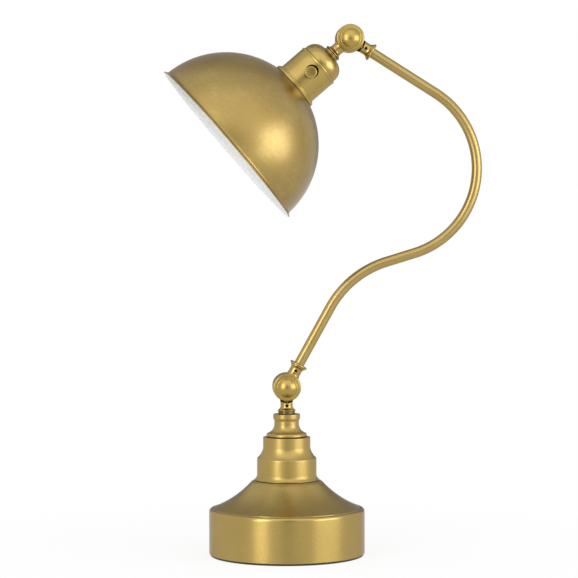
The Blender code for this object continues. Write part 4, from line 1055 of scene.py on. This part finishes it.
# ---- camera, floor and light
STUDIO_CENTRE = Vector((0.03, 0.0, 0.28))
CAMERA_TURN = math.radians(-3.73)
CAMERA_DISTANCE = 2.313
CAMERA_HEIGHT = 0.348
bpy.ops.object.camera_add(location=(CAMERA_DISTANCE * math.sin(CAMERA_TURN),
                                    -CAMERA_DISTANCE * math.cos(CAMERA_TURN), CAMERA_HEIGHT))
camera = bpy.context.object
camera.name = "studio_camera"
camera.data.sensor_width = 36.0
camera.data.lens = 147.35
camera.data.clip_end = 50.0
camera.rotation_euler = (math.radians(90 - 2.156), math.radians(0.15),
                         CAMERA_TURN - math.radians(0.071))
bpy.context.scene.camera = camera


def to_camera_side(azimuth, elevation, distance):
    """A spot round the lamp: azimuth is measured from the camera, + to its right."""
    turn = CAMERA_TURN + math.radians(azimuth)
    rise = math.radians(elevation)
    return STUDIO_CENTRE + distance * Vector((math.sin(turn) * math.cos(rise),
                                              -math.cos(turn) * math.cos(rise), math.sin(rise)))


def soft_box(name, azimuth, elevation, distance, width, height, power):
    spot = to_camera_side(azimuth, elevation, distance)
    bpy.ops.object.light_add(type="AREA", location=spot)
    lamp = bpy.context.object
    lamp.name = name
    lamp.data.shape = "RECTANGLE"
    lamp.data.size = width
    lamp.data.size_y = height
    lamp.data.energy = power
    lamp.rotation_euler = (STUDIO_CENTRE - spot).to_track_quat("-Z", "Y").to_euler()
    lamp.visible_camera = False


soft_box("left_soft_box", -38, -2, 1.6, 0.50, 1.9, 15)
soft_box("right_soft_box", 61, -3, 1.6, 1.20, 1.6, 20)
soft_box("overhead_soft_box", -2, 44, 1.7, 2.8, 1.9, 11)


def matt(name, level):
    """A plain matt grey: the material, its tree and its shader."""
    material = bpy.data.materials.new(name)
    material.use_nodes = True
    shader = material.node_tree.nodes["Principled BSDF"]
    shader.inputs["Base Color"].default_value = (level, level, level, 1.0)
    shader.inputs["Roughness"].default_value = 1.0
    return material, material.node_tree, shader


def dark_card(name, azimuth, elevation, distance, width, height, level):
    """A dark cloth that only reflections see, as is hung round shiny metal."""
    spot = to_camera_side(azimuth, elevation, distance)
    clear_selection()
    bpy.ops.mesh.primitive_plane_add(size=1.0)
    card = bpy.context.object
    card.name = name
    card.scale = (width, height, 1.0)
    card.location = spot
    card.rotation_euler = (STUDIO_CENTRE - spot).to_track_quat("Z", "Y").to_euler()
    card.data.materials.append(matt(name + "_cloth", level)[0])
    for sight in ("visible_camera", "visible_diffuse", "visible_shadow", "visible_transmission"):
        setattr(card, sight, False)


dark_card("camera_cloth", 1, 2, 1.9, 0.50, 1.6, 0.01)
dark_card("rear_cloth", 176, 35, 2.4, 2.9, 3.8, 0.55)


def seen_white(tree):
    """1 where the white studio shows itself: to the eye, in gloss and through glass."""
    path = add_node(tree, "ShaderNodeLightPath")
    direct = maths(tree, "MAXIMUM", path.outputs["Is Camera Ray"], path.outputs["Is Glossy Ray"])
    return maths(tree, "MAXIMUM", direct, path.outputs["Is Transmission Ray"])


clear_selection()
bpy.ops.mesh.primitive_circle_add(vertices=96, radius=6.0, fill_type="NGON",
                                  location=(0, 0, -0.0004))
floor = bpy.context.object
floor.name = "studio_floor"
paper, tree, shader = matt("white_paper", 0.93)
shader.inputs["Specular IOR Level"].default_value = 0.0
glow = add_node(tree, "ShaderNodeEmission")
feed(tree, (1.0, 1.0, 1.0), glow.inputs["Color"])
mix = add_node(tree, "ShaderNodeMixShader")
where = add_node(tree, "ShaderNodeTexCoord")
away = add_node(tree, "ShaderNodeVectorMath", operation="LENGTH")
wire_up(tree, (where.outputs["Object"], away.inputs[0]))
share = remap(tree, away.outputs["Value"], 0.10, 0.45, 0.86, 1.0)
wire_up(tree, (times(tree, seen_white(tree), share), mix.inputs[0]),
        (shader.outputs[0], mix.inputs[1]), (glow.outputs[0], mix.inputs[2]),
        (mix.outputs[0], tree.nodes["Material Output"].inputs["Surface"]))
floor.data.materials.append(paper)

world = bpy.data.worlds.new("white_studio")
bpy.context.scene.world = world
world.use_nodes = True
tree = world.node_tree
air = tree.nodes["Background"]
wire_up(tree, (remap(tree, seen_white(tree), 0.0, 1.0, 0.62, 1.0), air.inputs["Strength"]))
feed(tree, (1.0, 1.0, 1.0), air.inputs["Color"])
bpy.context.scene.view_settings.view_transform = "Standard"

clear_selection()
